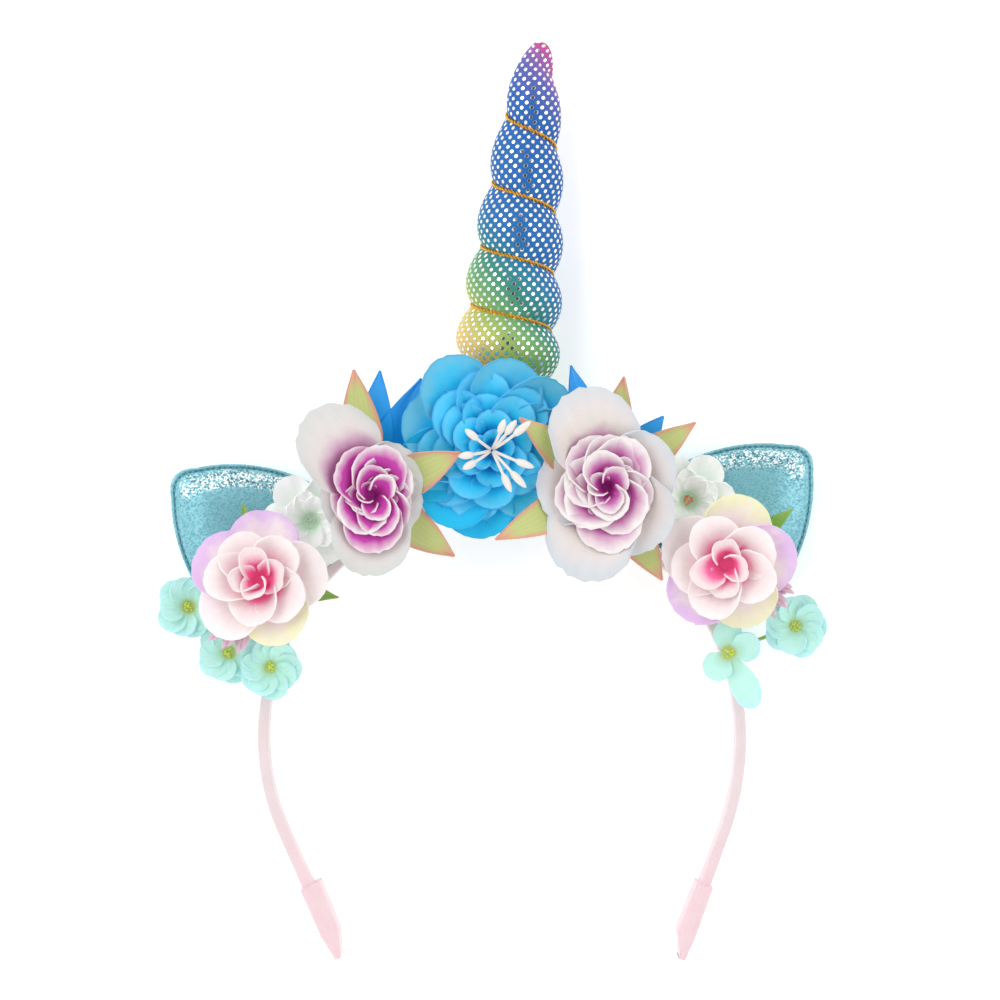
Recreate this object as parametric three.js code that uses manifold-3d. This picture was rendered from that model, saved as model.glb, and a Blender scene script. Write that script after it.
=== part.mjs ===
// A unicorn tiara: a ribbon-covered headband with a stuffed horn, padded ears and cloth flowers.
// Millimetres. X runs across the arch, Y up through its crown, Z out through the flowers.
// The arch lies with its back down, so the horn's back and the two band ends rest at Z = 0.
import * as THREE from 'three';
import { mergeVertices } from 'three/addons/utils/BufferGeometryUtils.js';
import Module from 'manifold-3d';

const wasm = await Module();
wasm.setup();

const rad = THREE.MathUtils.degToRad;
const fullTurn = 2 * Math.PI;

// Driving dimensions

const gap = 0.3;
const cloth = 1.0;
const layerClearance = 0.4;
const layerStep = cloth + layerClearance;

const band = { radius: 64.95, thickness: 2.8, depth: 9.5, back: 0.9, legEnd: -57 };
const bandFront = band.back + band.depth;
const bandOuter = band.radius + band.thickness / 2;
const archFacets = 25;
const legFacets = 4;


// The legs bend in by unlike amounts. A ribbon end is wider on its inner side,
// and its tip lies towards the outer side.
const legs = [
  {
    side: 'left', mirror: -1, radius: 62, sweep: 24,
    sleeve: [
      { at: 0, inner: 3.7, outer: 2.3 },
      { at: 0.66, inner: 3.2, outer: 2.3 },
      { at: 1, inner: 0.6, outer: 1.2 },
    ],
  },
  {
    side: 'right', mirror: 1, radius: 75, sweep: 20,
    sleeve: [
      { at: 0, inner: 2.5, outer: 2.3 },
      { at: 0.68, inner: 3.0, outer: 2.4 },
      { at: 1, inner: -0.2, outer: 1.9 },
    ],
  },
];
const sleeve = { length: 21, cover: 18, wall: 0.6 };
const cutOverrun = 1;

const horn = {
  length: 122, radius: 15.2, radiusAt: 100, taper: 0.42, leanPerLength: 0.101, baseX: -2.5,
  depthRatio: 0.88, grooveDepth: 0.22, bulgePower: 0.7, gatherFrom: 80, gatherLength: 38, gather: 0.32,
  fattestAt: 84, firstPitch: 20.2, pitchLoss: 0.62, sides: 16, rowsPerTurn: 4,
};
const goldCord = { radius: 0.55, fromTurn: 0.62, toTurn: 7.2, stepsPerTurn: 12, sides: 5 };

const ear = {
  baseRadius: 67.2, baseHalfAngle: 17, tipRadius: 117.5, points: 24, centreRadius: 88,
  hipOut: 9, hipUp: 20, cheekHalf: 14, cheekDrop: 13, tipHalf: 5.5, tipDrop: 6.5,
};
const earRings = [
  { scale: 1, rise: 0.8 },
  { scale: 0.86, rise: 2.8 },
  { scale: 0.5, rise: 3.9 },
];
const earCrown = 4.1;
const earMiddle = band.back + band.depth / 2;
const ears = [
  { name: 'ear_left', turn: 51.5 },
  { name: 'ear_right', turn: -47 },
];

// Petal layers, listed from the back of a flower to its front. Angles in degrees.
// The lengths and spin of a rose's outermost petals are its own.
const roseLayers = [
  { petals: 5, root: 5.0, width: 21, lift: 64, curl: -58 },
  { petals: 5, root: 3.8, length: 16.5, width: 16, lift: 76, curl: -54, spin: 54 },
  { petals: 4, root: 2.6, length: 14, width: 12, lift: 83, curl: -32, spin: 20 },
  { petals: 3, root: 1.3, length: 12, width: 6.2, lift: 81, curl: -14, spin: 50, hubShare: 0.7 },
];
const pinkLayers = [
  { petals: 5, root: 4.6, length: 15.5, width: 17, lift: 42, curl: -42, spin: 80 },
  { petals: 5, root: 3.4, length: 14, width: 14, lift: 62, curl: -44, spin: 44 },
  { petals: 4, root: 2.0, length: 12, width: 9.5, lift: 78, curl: -30, spin: 10 },
];
const whiteLayers = [
  { petals: 6, root: 3.4, length: 10.5, width: 10, lift: 28, curl: -30, spin: 0 },
  { petals: 5, root: 2.2, length: 8, width: 7, lift: 56, curl: -36, spin: 30 },
];
const blueLayers = [
  { petals: 10, root: 7.2, length: 17.5, width: 14, lift: 6, curl: -8, spin: 20 },
  { petals: 9, root: 6.0, length: 14.5, width: 13, lift: 16, curl: -18, spin: 18 },
  { petals: 8, root: 4.8, length: 11, width: 11, lift: 26, curl: -28, spin: 5 },
  { petals: 6, root: 3.4, length: 8, width: 9, lift: 38, curl: -40, spin: 25 },
  { petals: 5, root: 2.0, length: 5, width: 5.5, lift: 52, curl: -40, spin: 10 },
];
const mintLayers = [
  { petals: 5, root: 1.6, length: 7.4, width: 8, lift: 24, curl: -20, spin: 70 },
];

// Leaves, stamens and stems fan out from a flower's axis, a row for each one.
const roseLeftLeaves = [
  { azimuth: 26.6, length: 23.8, width: 12, lift: 39, curl: -12 },
  { azimuth: 97, length: 28.3, width: 12, lift: 10, curl: -8 },
  { azimuth: 325, length: 22.8, width: 11, lift: 12, curl: -8 },
];
const roseRightLeaves = [
  { azimuth: 36, length: 24, width: 10, lift: 12, curl: -8 },
  { azimuth: 81, length: 24.5, width: 10, lift: 12, curl: -8 },
  { azimuth: 142, length: 28, width: 11, lift: 46, curl: -32 },
  { azimuth: 205, length: 30, width: 11, lift: 42, curl: -38 },
  { azimuth: 301, length: 23.5, width: 11, lift: 10, curl: -8 },
];
const roseLeftBlues = [
  { azimuth: 65, length: 29.7, width: 11, lift: 5, curl: -6 },
  { azimuth: 84, length: 28.6, width: 11, lift: 5, curl: -6 },
];
const roseRightBlues = [
  { azimuth: 51, length: 19.5, width: 10, lift: 5, curl: -6 },
  { azimuth: 88, length: 20, width: 11, lift: 5, curl: -6 },
  { azimuth: 106, length: 29, width: 10, lift: 5, curl: -6 },
];
const pinkLeftLeaves = [
  { azimuth: 350, length: 17, width: 6, lift: 4, curl: -4 },
  { azimuth: 106, length: 20, width: 7, lift: 4, curl: -4 },
];
const pinkRightLeaves = [
  { azimuth: 39, length: 19, width: 6, lift: 4, curl: -4 },
  { azimuth: 178, length: 14, width: 6, lift: 4, curl: -4 },
  { azimuth: 245, length: 16, width: 7, lift: 4, curl: -4 },
];
const pinkLeftStamens = [
  { azimuth: 227, length: 18, width: 2.2, lift: 4, curl: 6 },
  { azimuth: 239, length: 17.5, width: 2.2, lift: 4, curl: 6 },
  { azimuth: 251, length: 17, width: 2.2, lift: 4, curl: 6 },
];
const pinkRightStamens = [
  { azimuth: 312, length: 17, width: 2.2, lift: 4, curl: 6 },
  { azimuth: 324, length: 17.5, width: 2.2, lift: 4, curl: 6 },
  { azimuth: 336, length: 17, width: 2.2, lift: 4, curl: 6 },
];
const blueStamens = [
  { azimuth: 41, length: 14.5, width: 1.6, lift: 66, curl: -66 },
  { azimuth: 55, length: 11.5, width: 1.6, lift: 66, curl: -66 },
  { azimuth: 71, length: 10, width: 1.6, lift: 66, curl: -66 },
  { azimuth: 140, length: 10.5, width: 1.6, lift: 66, curl: -66 },
  { azimuth: 186, length: 10, width: 1.6, lift: 66, curl: -66 },
  { azimuth: 208, length: 9.8, width: 1.6, lift: 66, curl: -66 },
  { azimuth: 294, length: 12.6, width: 1.6, lift: 66, curl: -66 },
  { azimuth: 313, length: 14, width: 1.6, lift: 66, curl: -66 },
  { azimuth: 340, length: 12.6, width: 1.6, lift: 66, curl: -66 },
];
const mintLeftArms = [
  { azimuth: 144, length: 26, width: 2.2, lift: 1, curl: -1 },
  { azimuth: 161, length: 10, width: 2.2, lift: 1, curl: -1 },
];
const mintRightArms = [
  { azimuth: 21, length: 18, width: 2.2, lift: 1, curl: -1 },
];
const mintHangingPetals = [
  { azimuth: 20, length: 7.4, width: 8, lift: 24, curl: -20 },
  { azimuth: 95, length: 7.4, width: 8, lift: 24, curl: -20 },
  { azimuth: 230, length: 7.4, width: 8, lift: 24, curl: -20 },
  { azimuth: 295, length: 15, width: 7, lift: 12, curl: -20 },
];

// Closed solids from points and faces

function closedGeometry(points, faces) {
  const raw = new THREE.BufferGeometry();
  raw.setAttribute('position', new THREE.Float32BufferAttribute(points.flat(), 3));
  raw.setIndex(faces.flat());
  const merged = mergeVertices(raw, 1e-3);
  const index = merged.getIndex().array;
  const kept = [];
  for (let i = 0; i < index.length; i += 3) {
    const [a, b, c] = [index[i], index[i + 1], index[i + 2]];
    if (a !== b && b !== c && c !== a) kept.push(a, b, c);
  }
  merged.setIndex(signedVolume(merged, kept) < 0 ? kept.reverse() : kept);
  return merged;
}

function signedVolume(geometry, index) {
  const position = geometry.getAttribute('position');
  const corner = (i) => new THREE.Vector3().fromBufferAttribute(position, index[i]);
  let total = 0;
  for (let i = 0; i < index.length; i += 3) {
    total += corner(i).dot(corner(i + 1).cross(corner(i + 2)));
  }
  return total / 6;
}

function quad(a, b, c, d) {
  return [[a, b, c], [a, c, d]];
}

// A sweep of equal rings of points, closed at both ends
function loft(rings) {
  const points = rings.flat();
  const sides = rings[0].length;
  const faces = [];
  for (let k = 0; k + 1 < rings.length; k += 1) {
    for (let i = 0; i < sides; i += 1) {
      const next = (i + 1) % sides;
      const low = k * sides;
      faces.push(...quad(low + i, low + next, low + sides + next, low + sides + i));
    }
  }
  const last = (rings.length - 1) * sides;
  for (let i = 1; i + 1 < sides; i += 1) {
    faces.push([0, i + 1, i], [last, last + i, last + i + 1]);
  }
  return closedGeometry(points, faces);
}

function toSolid(geometry) {
  const vertProperties = new Float32Array(geometry.getAttribute('position').array);
  const triVerts = new Uint32Array(geometry.getIndex().array);
  return new wasm.Manifold(new wasm.Mesh({ numProp: 3, vertProperties, triVerts }));
}

function fromSolid(solid) {
  const mesh = solid.getMesh();
  const geometry = new THREE.BufferGeometry();
  geometry.setAttribute('position', new THREE.Float32BufferAttribute(mesh.vertProperties, 3));
  geometry.setIndex([...mesh.triVerts]);
  return geometry;
}

// The band and its ribbon ends

function legArc(leg) {
  return leg.radius * rad(leg.sweep);
}

function legLength(leg) {
  const arcDrop = leg.radius * Math.sin(rad(leg.sweep));
  return legArc(leg) + (-band.legEnd - arcDrop) / Math.cos(rad(leg.sweep));
}

function legStation(leg, drop) {
  const turn = Math.min(drop / leg.radius, rad(leg.sweep));
  const straight = Math.max(drop - legArc(leg), 0);
  const x = band.radius - leg.radius * (1 - Math.cos(turn)) - straight * Math.sin(turn);
  const y = -leg.radius * Math.sin(turn) - straight * Math.cos(turn);
  return { x: leg.mirror * x, y, nx: leg.mirror * Math.cos(turn), ny: -Math.sin(turn) };
}

// Four corners across the strip at a station, from its inner to its outer side
function stripSection(station, inner, outer, low, high) {
  const corner = (aside, z) => [station.x + aside * station.nx, station.y + aside * station.ny, z];
  return [corner(-inner, low), corner(outer, low), corner(outer, high), corner(-inner, high)];
}

function bandSection(station, grow) {
  const half = band.thickness / 2 + grow;
  return stripSection(station, half, half, band.back - grow, bandFront + grow);
}

function legSections(leg) {
  const drops = [legLength(leg)];
  for (let i = legFacets; i > 0; i -= 1) drops.push((legArc(leg) * i) / legFacets);
  return drops.map((drop) => bandSection(legStation(leg, drop), 0));
}

function bandGeometry() {
  const [left, right] = legs;
  const rings = legSections(right);
  for (let i = 0; i <= archFacets; i += 1) {
    const angle = (Math.PI * i) / archFacets;
    const [nx, ny] = [Math.cos(angle), Math.sin(angle)];
    rings.push(bandSection({ x: band.radius * nx, y: band.radius * ny, nx, ny }, 0));
  }
  rings.push(...legSections(left).reverse());
  return loft(rings);
}

function sleeveGeometry(leg) {
  const start = legLength(leg) - sleeve.cover;
  const low = band.back - gap - sleeve.wall;
  const high = bandFront + gap + sleeve.wall;
  const outer = loft(leg.sleeve.map(({ at, inner, outer: outside }) => {
    const station = legStation(leg, start + at * sleeve.length);
    return stripSection(station, inner, outside, low, high);
  }));
  const cavityEnds = [start - cutOverrun, legLength(leg) + gap];
  const cavity = loft(cavityEnds.map((drop) => bandSection(legStation(leg, drop), gap)));
  return fromSolid(toSolid(outer).subtract(toSolid(cavity)));
}

// The stuffed horn and the cord wound in its groove

const hornBaseY = bandOuter * Math.cos(Math.PI / (2 * archFacets)) + gap;
const hornTipY = hornBaseY + horn.length;

function hornEnvelope(fromTip) {
  const swell = horn.radius * Math.pow(fromTip / horn.radiusAt, horn.taper);
  const late = THREE.MathUtils.smoothstep(fromTip, horn.gatherFrom, horn.gatherFrom + horn.gatherLength);
  return swell * (1 - horn.gather * late);
}

function hornTurns(fromTip) {
  const { firstPitch, pitchLoss } = horn;
  return (firstPitch - Math.sqrt(firstPitch ** 2 - 4 * pitchLoss * fromTip)) / (2 * pitchLoss);
}

function hornFromTip(turns) {
  return horn.firstPitch * turns - horn.pitchLoss * turns ** 2;
}

const hornAxisZ = horn.depthRatio * hornEnvelope(horn.fattestAt);

// The angle runs from the left side over the front to the right side
function hornPoint(fromTip, angle, outset) {
  const phase = hornTurns(fromTip) - angle / fullTurn;
  const bulge = Math.pow(Math.abs(Math.sin(Math.PI * phase)), horn.bulgePower);
  const reach = hornEnvelope(fromTip) * (1 - horn.grooveDepth * (1 - bulge)) + outset;
  const y = hornTipY - fromTip;
  const axisX = horn.baseX + horn.leanPerLength * (y - hornBaseY);
  return [
    axisX - reach * Math.cos(angle),
    y,
    hornAxisZ + horn.depthRatio * reach * Math.sin(angle),
  ];
}

function hornGeometry() {
  const rows = Math.ceil(hornTurns(horn.length) + 1) * horn.rowsPerTurn;
  const points = [];
  for (let row = -horn.rowsPerTurn; row <= rows; row += 1) {
    for (let i = 0; i <= horn.sides; i += 1) {
      const turns = Math.max(row / horn.rowsPerTurn + i / horn.sides, 0);
      const fromTip = Math.min(hornFromTip(Math.min(turns, hornTurns(horn.length))), horn.length);
      points.push(hornPoint(fromTip, (fullTurn * (i % horn.sides)) / horn.sides, 0));
    }
  }
  const width = horn.sides + 1;
  const faces = [];
  for (let row = 0; row < rows + horn.rowsPerTurn; row += 1) {
    for (let i = 0; i < horn.sides; i += 1) {
      const low = row * width + i;
      faces.push(...quad(low, low + 1, low + width + 1, low + width));
    }
  }
  const rim = (rows + horn.rowsPerTurn) * width;
  for (let i = 1; i + 1 < horn.sides; i += 1) faces.push([rim, rim + i, rim + i + 1]);
  return closedGeometry(points, faces);
}

function goldCordGeometry() {
  const steps = Math.round((goldCord.toTurn - goldCord.fromTurn) * goldCord.stepsPerTurn);
  const centre = (step) => {
    const turns = goldCord.fromTurn + (step / steps) * (goldCord.toTurn - goldCord.fromTurn);
    const outset = goldCord.radius + 2 * gap;
    return new THREE.Vector3(...hornPoint(hornFromTip(turns), fullTurn * (turns % 1), outset));
  };
  const rings = [];
  for (let step = 0; step <= steps; step += 1) {
    const along = centre(Math.min(step + 1, steps)).sub(centre(Math.max(step - 1, 0))).normalize();
    const up = new THREE.Vector3(0, 1, 0);
    const out = new THREE.Vector3().crossVectors(along, up).normalize();
    const over = new THREE.Vector3().crossVectors(out, along);
    const ring = [];
    for (let i = 0; i < goldCord.sides; i += 1) {
      const angle = (fullTurn * i) / goldCord.sides;
      const point = centre(step);
      point.addScaledVector(out, goldCord.radius * Math.cos(angle));
      point.addScaledVector(over, goldCord.radius * Math.sin(angle));
      ring.push(point.toArray());
    }
    rings.push(ring);
  }
  return loft(rings);
}

// A padded ear, standing on the band with its tip along +Y

function earOutline() {
  const side = rad(ear.baseHalfAngle);
  const baseX = ear.baseRadius * Math.sin(side);
  const baseY = ear.baseRadius * Math.cos(side);
  const outline = new THREE.Shape();
  outline.absarc(0, 0, ear.baseRadius, Math.PI / 2 + side, Math.PI / 2 - side, true);
  const hip = { x: baseX + ear.hipOut, y: baseY + ear.hipUp };
  const cheek = { x: ear.cheekHalf, y: ear.tipRadius - ear.cheekDrop };
  const tip = { x: ear.tipHalf, y: ear.tipRadius - ear.tipDrop };
  outline.bezierCurveTo(hip.x, hip.y, cheek.x, cheek.y, tip.x, tip.y);
  outline.quadraticCurveTo(0, ear.tipRadius, -tip.x, tip.y);
  outline.bezierCurveTo(-cheek.x, cheek.y, -hip.x, hip.y, -baseX, baseY);
  return outline.getSpacedPoints(ear.points).slice(0, ear.points);
}

function earGeometry() {
  const outline = earOutline();
  const ring = ({ scale, rise }, side) => outline.map((point) => [
    point.x * scale,
    ear.centreRadius + (point.y - ear.centreRadius) * scale,
    side * rise,
  ]);
  const layers = [
    ...[...earRings].reverse().map((row) => ring(row, -1)),
    ...earRings.map((row) => ring(row, 1)),
  ];
  const points = layers.flat();
  const faces = [];
  for (let k = 0; k + 1 < layers.length; k += 1) {
    for (let i = 0; i < ear.points; i += 1) {
      const next = (i + 1) % ear.points;
      const low = k * ear.points;
      faces.push(...quad(low + i, low + next, low + ear.points + next, low + ear.points + i));
    }
  }
  const top = (layers.length - 1) * ear.points;
  const crownBack = points.push([0, ear.centreRadius, -earCrown]) - 1;
  const crownFront = points.push([0, ear.centreRadius, earCrown]) - 1;
  for (let i = 0; i < ear.points; i += 1) {
    const next = (i + 1) % ear.points;
    faces.push([crownBack, next, i], [crownFront, top + i, top + next]);
  }
  return closedGeometry(points, faces);
}

// Cloth petals round a small disc

const tipShare = 0.97;
const stations = [0, 0.4, 0.75, tipShare];
const across = [-1, 0, 1];
const rootShare = 0.45;
const roundest = 0.62;
const leafShape = { widest: 0.4, power: 1.5 };
const budShape = { neck: 0.45, from: 0.6 };
const slitHalf = 0.25;
const hubSector = 60;
const tiny = 1e-6;

function roundOutline(along) {
  if (along < roundest) return rootShare + (1 - rootShare) * THREE.MathUtils.smoothstep(along, 0, roundest);
  return Math.sqrt(1 - ((along - roundest) / (1 - roundest)) ** 2);
}

function pointedOutline(along) {
  const { widest, power } = leafShape;
  if (along < widest) return rootShare + (1 - rootShare) * THREE.MathUtils.smoothstep(along, 0, widest);
  return 1 - ((along - widest) / (1 - widest)) ** power;
}

function budOutline(along) {
  return along > budShape.from ? 1 : budShape.neck;
}

function petalPoint(petal, root, hubHalf, along, u, side) {
  const lift = rad(petal.lift);
  const curl = rad(petal.curl);
  const slope = lift + curl * along;
  const reach = root + (petal.length * (Math.sin(slope) - Math.sin(lift))) / curl;
  const height = (petal.length * (Math.cos(lift) - Math.cos(slope))) / curl;
  const halfWidth = (petal.width / 2) * petal.outline(along);
  const halfAngle = along === 0 ? hubHalf : Math.min(halfWidth / reach, petal.room - slitHalf / reach);
  const normal = along === 0 ? Math.PI / 2 : slope + Math.PI / 2;
  const rise = along * halfWidth * (petal.cup * u * u + petal.twist * u) + (side * petal.thickness) / 2;
  const radius = reach + rise * Math.cos(normal);
  const azimuth = rad(petal.azimuth) + halfAngle * u;
  return [radius * Math.cos(azimuth), radius * Math.sin(azimuth), height + rise * Math.sin(normal)];
}

function whorlGeometry(petals, root, calyx = 0) {
  const points = [];
  const faces = [];
  const add = (point) => points.push(point) - 1;
  const thickness = petals[0].thickness;
  const hubTop = add([0, 0, thickness / 2]);
  const hubBack = add([0, 0, -thickness / 2 - calyx]);
  const hubRing = [];
  for (const petal of petals) {
    const grid = [1, -1].map((side) => stations.map((along) => across.map(
      (u) => add(petalPoint(petal, root, petal.hubHalf, along, u, side)),
    )));
    const [front, back] = grid;
    const wall = (k, i, m, j) => faces.push(...quad(front[k][i], front[m][j], back[m][j], back[k][i]));
    for (let k = 0; k + 1 < stations.length; k += 1) {
      for (let i = 0; i + 1 < across.length; i += 1) {
        faces.push(...quad(front[k][i], front[k + 1][i], front[k + 1][i + 1], front[k][i + 1]));
        faces.push(...quad(back[k][i], back[k][i + 1], back[k + 1][i + 1], back[k + 1][i]));
      }
      wall(k + 1, 0, k, 0);
      wall(k, across.length - 1, k + 1, across.length - 1);
    }
    const tip = stations.length - 1;
    for (let i = 0; i + 1 < across.length; i += 1) wall(tip, i + 1, tip, i);
    across.forEach((u, i) => hubRing.push({
      angle: rad(petal.azimuth) + petal.hubHalf * u,
      front: front[0][i],
      back: back[0][i],
      open: i === across.length - 1,
    }));
  }
  hubRing.forEach((from, i) => {
    const to = hubRing[(i + 1) % hubRing.length];
    const sweep = THREE.MathUtils.euclideanModulo(to.angle - from.angle + tiny, fullTurn) - tiny;
    const steps = from.open ? Math.max(Math.ceil(sweep / rad(hubSector)), 1) : 1;
    let last = from;
    for (let step = 1; step <= steps; step += 1) {
      const angle = from.angle + (sweep * step) / steps;
      const rim = (side) => [root * Math.cos(angle), root * Math.sin(angle), (side * thickness) / 2];
      const next = step === steps ? to : { front: add(rim(1)), back: add(rim(-1)) };
      faces.push([hubTop, last.front, next.front], [hubBack, next.back, last.back]);
      if (from.open && sweep > 2 * tiny) faces.push(...quad(last.back, next.back, next.front, last.front));
      last = next;
    }
  });
  return closedGeometry(points, faces);
}

const ringBend = { cup: 0.12, twist: 0.1 };
const fanBend = { cup: 0.1, twist: 0 };
const fanHubShare = 0.4;
const fanMostApart = 90;

// A full ring of petals; squeeze shortens those that point along X, unless each has a length of its own
function ringPetals(layer, size, squeeze) {
  return Array.from({ length: layer.petals }, (_, i) => {
    const azimuth = layer.spin + (360 * i) / layer.petals;
    const shorter = 1 - squeeze * Math.cos(rad(azimuth)) ** 2;
    return {
      ...layer,
      azimuth,
      length: layer.lengths?.[i] ?? layer.length * size * shorter,
      width: layer.width * size,
      outline: roundOutline,
      room: Math.PI / layer.petals,
      hubHalf: (Math.PI / layer.petals) * (layer.hubShare ?? 1),
      ...ringBend,
      thickness: cloth,
    };
  });
}

// Petals of unlike sizes; each keeps to its half of the space between it and the nearest one
function fanPetals(rows, root, outline, thickness = cloth) {
  const nearest = (row) => Math.min(...rows.map((other) => {
    const apart = Math.abs(row.azimuth - other.azimuth);
    return other === row ? fanMostApart : Math.min(apart, 360 - apart);
  }));
  return rows.map((row) => ({
    ...row,
    outline,
    room: rad(nearest(row)) / 2,
    hubHalf: Math.min((row.width * outline(0)) / 2 / root, fanHubShare * rad(nearest(row))),
    ...fanBend,
    thickness,
  }));
}

const stem = { sides: 6, bends: 4, riseShare: 0.45 };

function stemGeometry(from, to, radius) {
  const rise = (to[2] - from[2]) * stem.riseShare;
  const path = new THREE.CubicBezierCurve3(
    new THREE.Vector3(...from),
    new THREE.Vector3(from[0], from[1], from[2] + rise),
    new THREE.Vector3(to[0], to[1], to[2] - rise),
    new THREE.Vector3(...to),
  );
  const rings = path.getPoints(stem.bends).map((centre) => Array.from({ length: stem.sides }, (_, i) => [
    centre.x + radius * Math.cos((fullTurn * i) / stem.sides),
    centre.y + radius * Math.sin((fullTurn * i) / stem.sides),
    centre.z,
  ]));
  return loft(rings);
}

// Colours

const colours = {
  ribbon: '#f6dbe1', foil: '#3a86c4', gold: '#d9971f', teal: '#69b2bb', azure: '#2f9fdc', white: '#f4f4f2',
  mauve: '#c872b4', cream: '#efe0e4', leaf: '#bfcb80', royal: '#2a78d8', green: '#5f9a3c', blush: '#f3c9d2',
  mint: '#a4e6d3',
};

const tiara = new THREE.Group();

function addPiece(parent, name, geometry, colour, roughness = 0.8, metalness = 0) {
  const material = new THREE.MeshStandardMaterial({ color: colours[colour], roughness, metalness });
  const mesh = new THREE.Mesh(geometry, material);
  mesh.name = name;
  parent.add(mesh);
  return mesh;
}

// Pieces

addPiece(tiara, 'band', bandGeometry(), 'ribbon', 0.5);
for (const leg of legs) addPiece(tiara, `band_end_${leg.side}`, sleeveGeometry(leg), 'ribbon', 0.5);
addPiece(tiara, 'horn', hornGeometry(), 'foil', 0.4, 0.3);
addPiece(tiara, 'horn_cord', goldCordGeometry(), 'gold', 0.35, 0.8);

for (const { name, turn } of ears) {
  const mesh = addPiece(tiara, name, earGeometry(), 'teal', 0.4, 0.4);
  mesh.position.z = earMiddle;
  mesh.rotation.z = rad(turn);
}

function flowerGroup(at, leanX = 0, leanY = 0) {
  const group = new THREE.Group();
  group.position.set(...at);
  group.rotation.set(rad(leanX), rad(leanY), 0);
  tiara.add(group);
  return group;
}

function addLayers(group, name, layers, { size = 1, squeeze = 0, colour, calyx = 0 }) {
  layers.forEach((layer, i) => {
    const geometry = whorlGeometry(ringPetals(layer, size, squeeze), layer.root, i === 0 ? calyx : 0);
    const suffix = layers.length > 1 ? `_layer_${i + 1}` : '';
    addPiece(group, `${name}${suffix}`, geometry, colour).position.z = i * layerStep;
  });
}

function addFan(group, name, rows, { root, outline, colour, height, thickness }) {
  const geometry = whorlGeometry(fanPetals(rows, root, outline, thickness), root);
  addPiece(group, name, geometry, colour).position.z = height;
}

// A stem from the front edge of the band, at the point nearest the flower, to the flower's back
function addStem(name, at, drop, radius, lean) {
  const outward = new THREE.Vector2(at[0], at[1]).setLength(band.radius);
  const from = [outward.x, outward.y, bandFront + gap];
  const tilt = radius * Math.sin(rad(Math.hypot(lean.x, lean.y)));
  const to = [at[0], at[1], at[2] - drop - cloth / 2 - gap - tilt];
  addPiece(tiara, name, stemGeometry(from, to, radius), 'green');
}

const roots = {
  roseLeaves: 5.6, roseBlues: 5, pinkLeaves: 3.4, pinkStamens: 3.4, blueStamens: 1.6, mintStem: 2.2,
};
const stemRadius = { rose: 2.4, pink: 1.8 };
const stamenThickness = 0.8;
const blueAt = [-3.2, 78.6, 23.8];
const blueLean = { x: 7, y: 4 };

const blue = flowerGroup(blueAt, blueLean.x, blueLean.y);
addLayers(blue, 'blue_flower', blueLayers, { colour: 'azure' });
addFan(blue, 'blue_flower_stamens', blueStamens, {
  root: roots.blueStamens, outline: budOutline, colour: 'white', height: blueLayers.length * layerStep,
  thickness: stamenThickness,
});

const roses = [
  {
    name: 'rose_left', at: [-35.6, 65.7, 27], lean: { x: 0, y: 12 }, size: 1, squeeze: 0.42,
    outermost: { spin: 126, lengths: [27, 10.5, 20.5, 11, 13] },
    colour: 'mauve', leaves: roseLeftLeaves, blues: roseLeftBlues,
  },
  {
    name: 'rose_right', at: [27.8, 68, 23.3], lean: { x: 0, y: 0 }, size: 1.06, squeeze: 0.22,
    outermost: { spin: 104, lengths: [26, 17, 26, 18.5, 18.5] },
    colour: 'cream', leaves: roseRightLeaves, blues: roseRightBlues,
  },
];
for (const { name, at, lean, size, squeeze, outermost, colour, leaves, blues } of roses) {
  const group = flowerGroup(at, lean.x, lean.y);
  const [skirt, ...heart] = roseLayers;
  addLayers(group, name, [{ ...skirt, ...outermost }, ...heart], { size, squeeze, colour });
  addFan(group, `${name}_leaves`, leaves, {
    root: roots.roseLeaves, outline: pointedOutline, colour: 'leaf', height: -layerStep,
  });
  addFan(group, `${name}_blue_petals`, blues, {
    root: roots.roseBlues, outline: pointedOutline, colour: 'royal', height: -2 * layerStep,
  });
  addStem(`${name}_stem`, at, 2 * layerStep, stemRadius.rose, lean);
}

const pinks = [
  {
    name: 'pink_flower_left', at: [-64, 42, 19.8], lean: { x: -12, y: -6 },
    leaves: pinkLeftLeaves, stamens: pinkLeftStamens,
  },
  {
    name: 'pink_flower_right', at: [60.2, 48.1, 19.8], lean: { x: 6, y: -6 },
    leaves: pinkRightLeaves, stamens: pinkRightStamens,
  },
];
for (const { name, at, lean, leaves, stamens } of pinks) {
  const group = flowerGroup(at, lean.x, lean.y);
  addLayers(group, name, pinkLayers, { colour: 'blush' });
  addFan(group, `${name}_stamens`, stamens, {
    root: roots.pinkStamens, outline: budOutline, colour: 'mauve', height: -layerStep,
  });
  addFan(group, `${name}_leaves`, leaves, {
    root: roots.pinkLeaves, outline: pointedOutline, colour: 'green', height: -2 * layerStep,
  });
  addStem(`${name}_stem`, at, 2 * layerStep, stemRadius.pink, lean);
}

// The white blossoms are glued to the front of the ears
const whiteHeight = earMiddle + earCrown + gap + cloth / 2;
const whites = [
  { name: 'white_blossom_left', at: [-51.8, 58.9, whiteHeight] },
  { name: 'white_blossom_right', at: [50.4, 64.6, whiteHeight] },
];
for (const { name, at } of whites) addLayers(flowerGroup(at), name, whiteLayers, { colour: 'white' });

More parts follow.
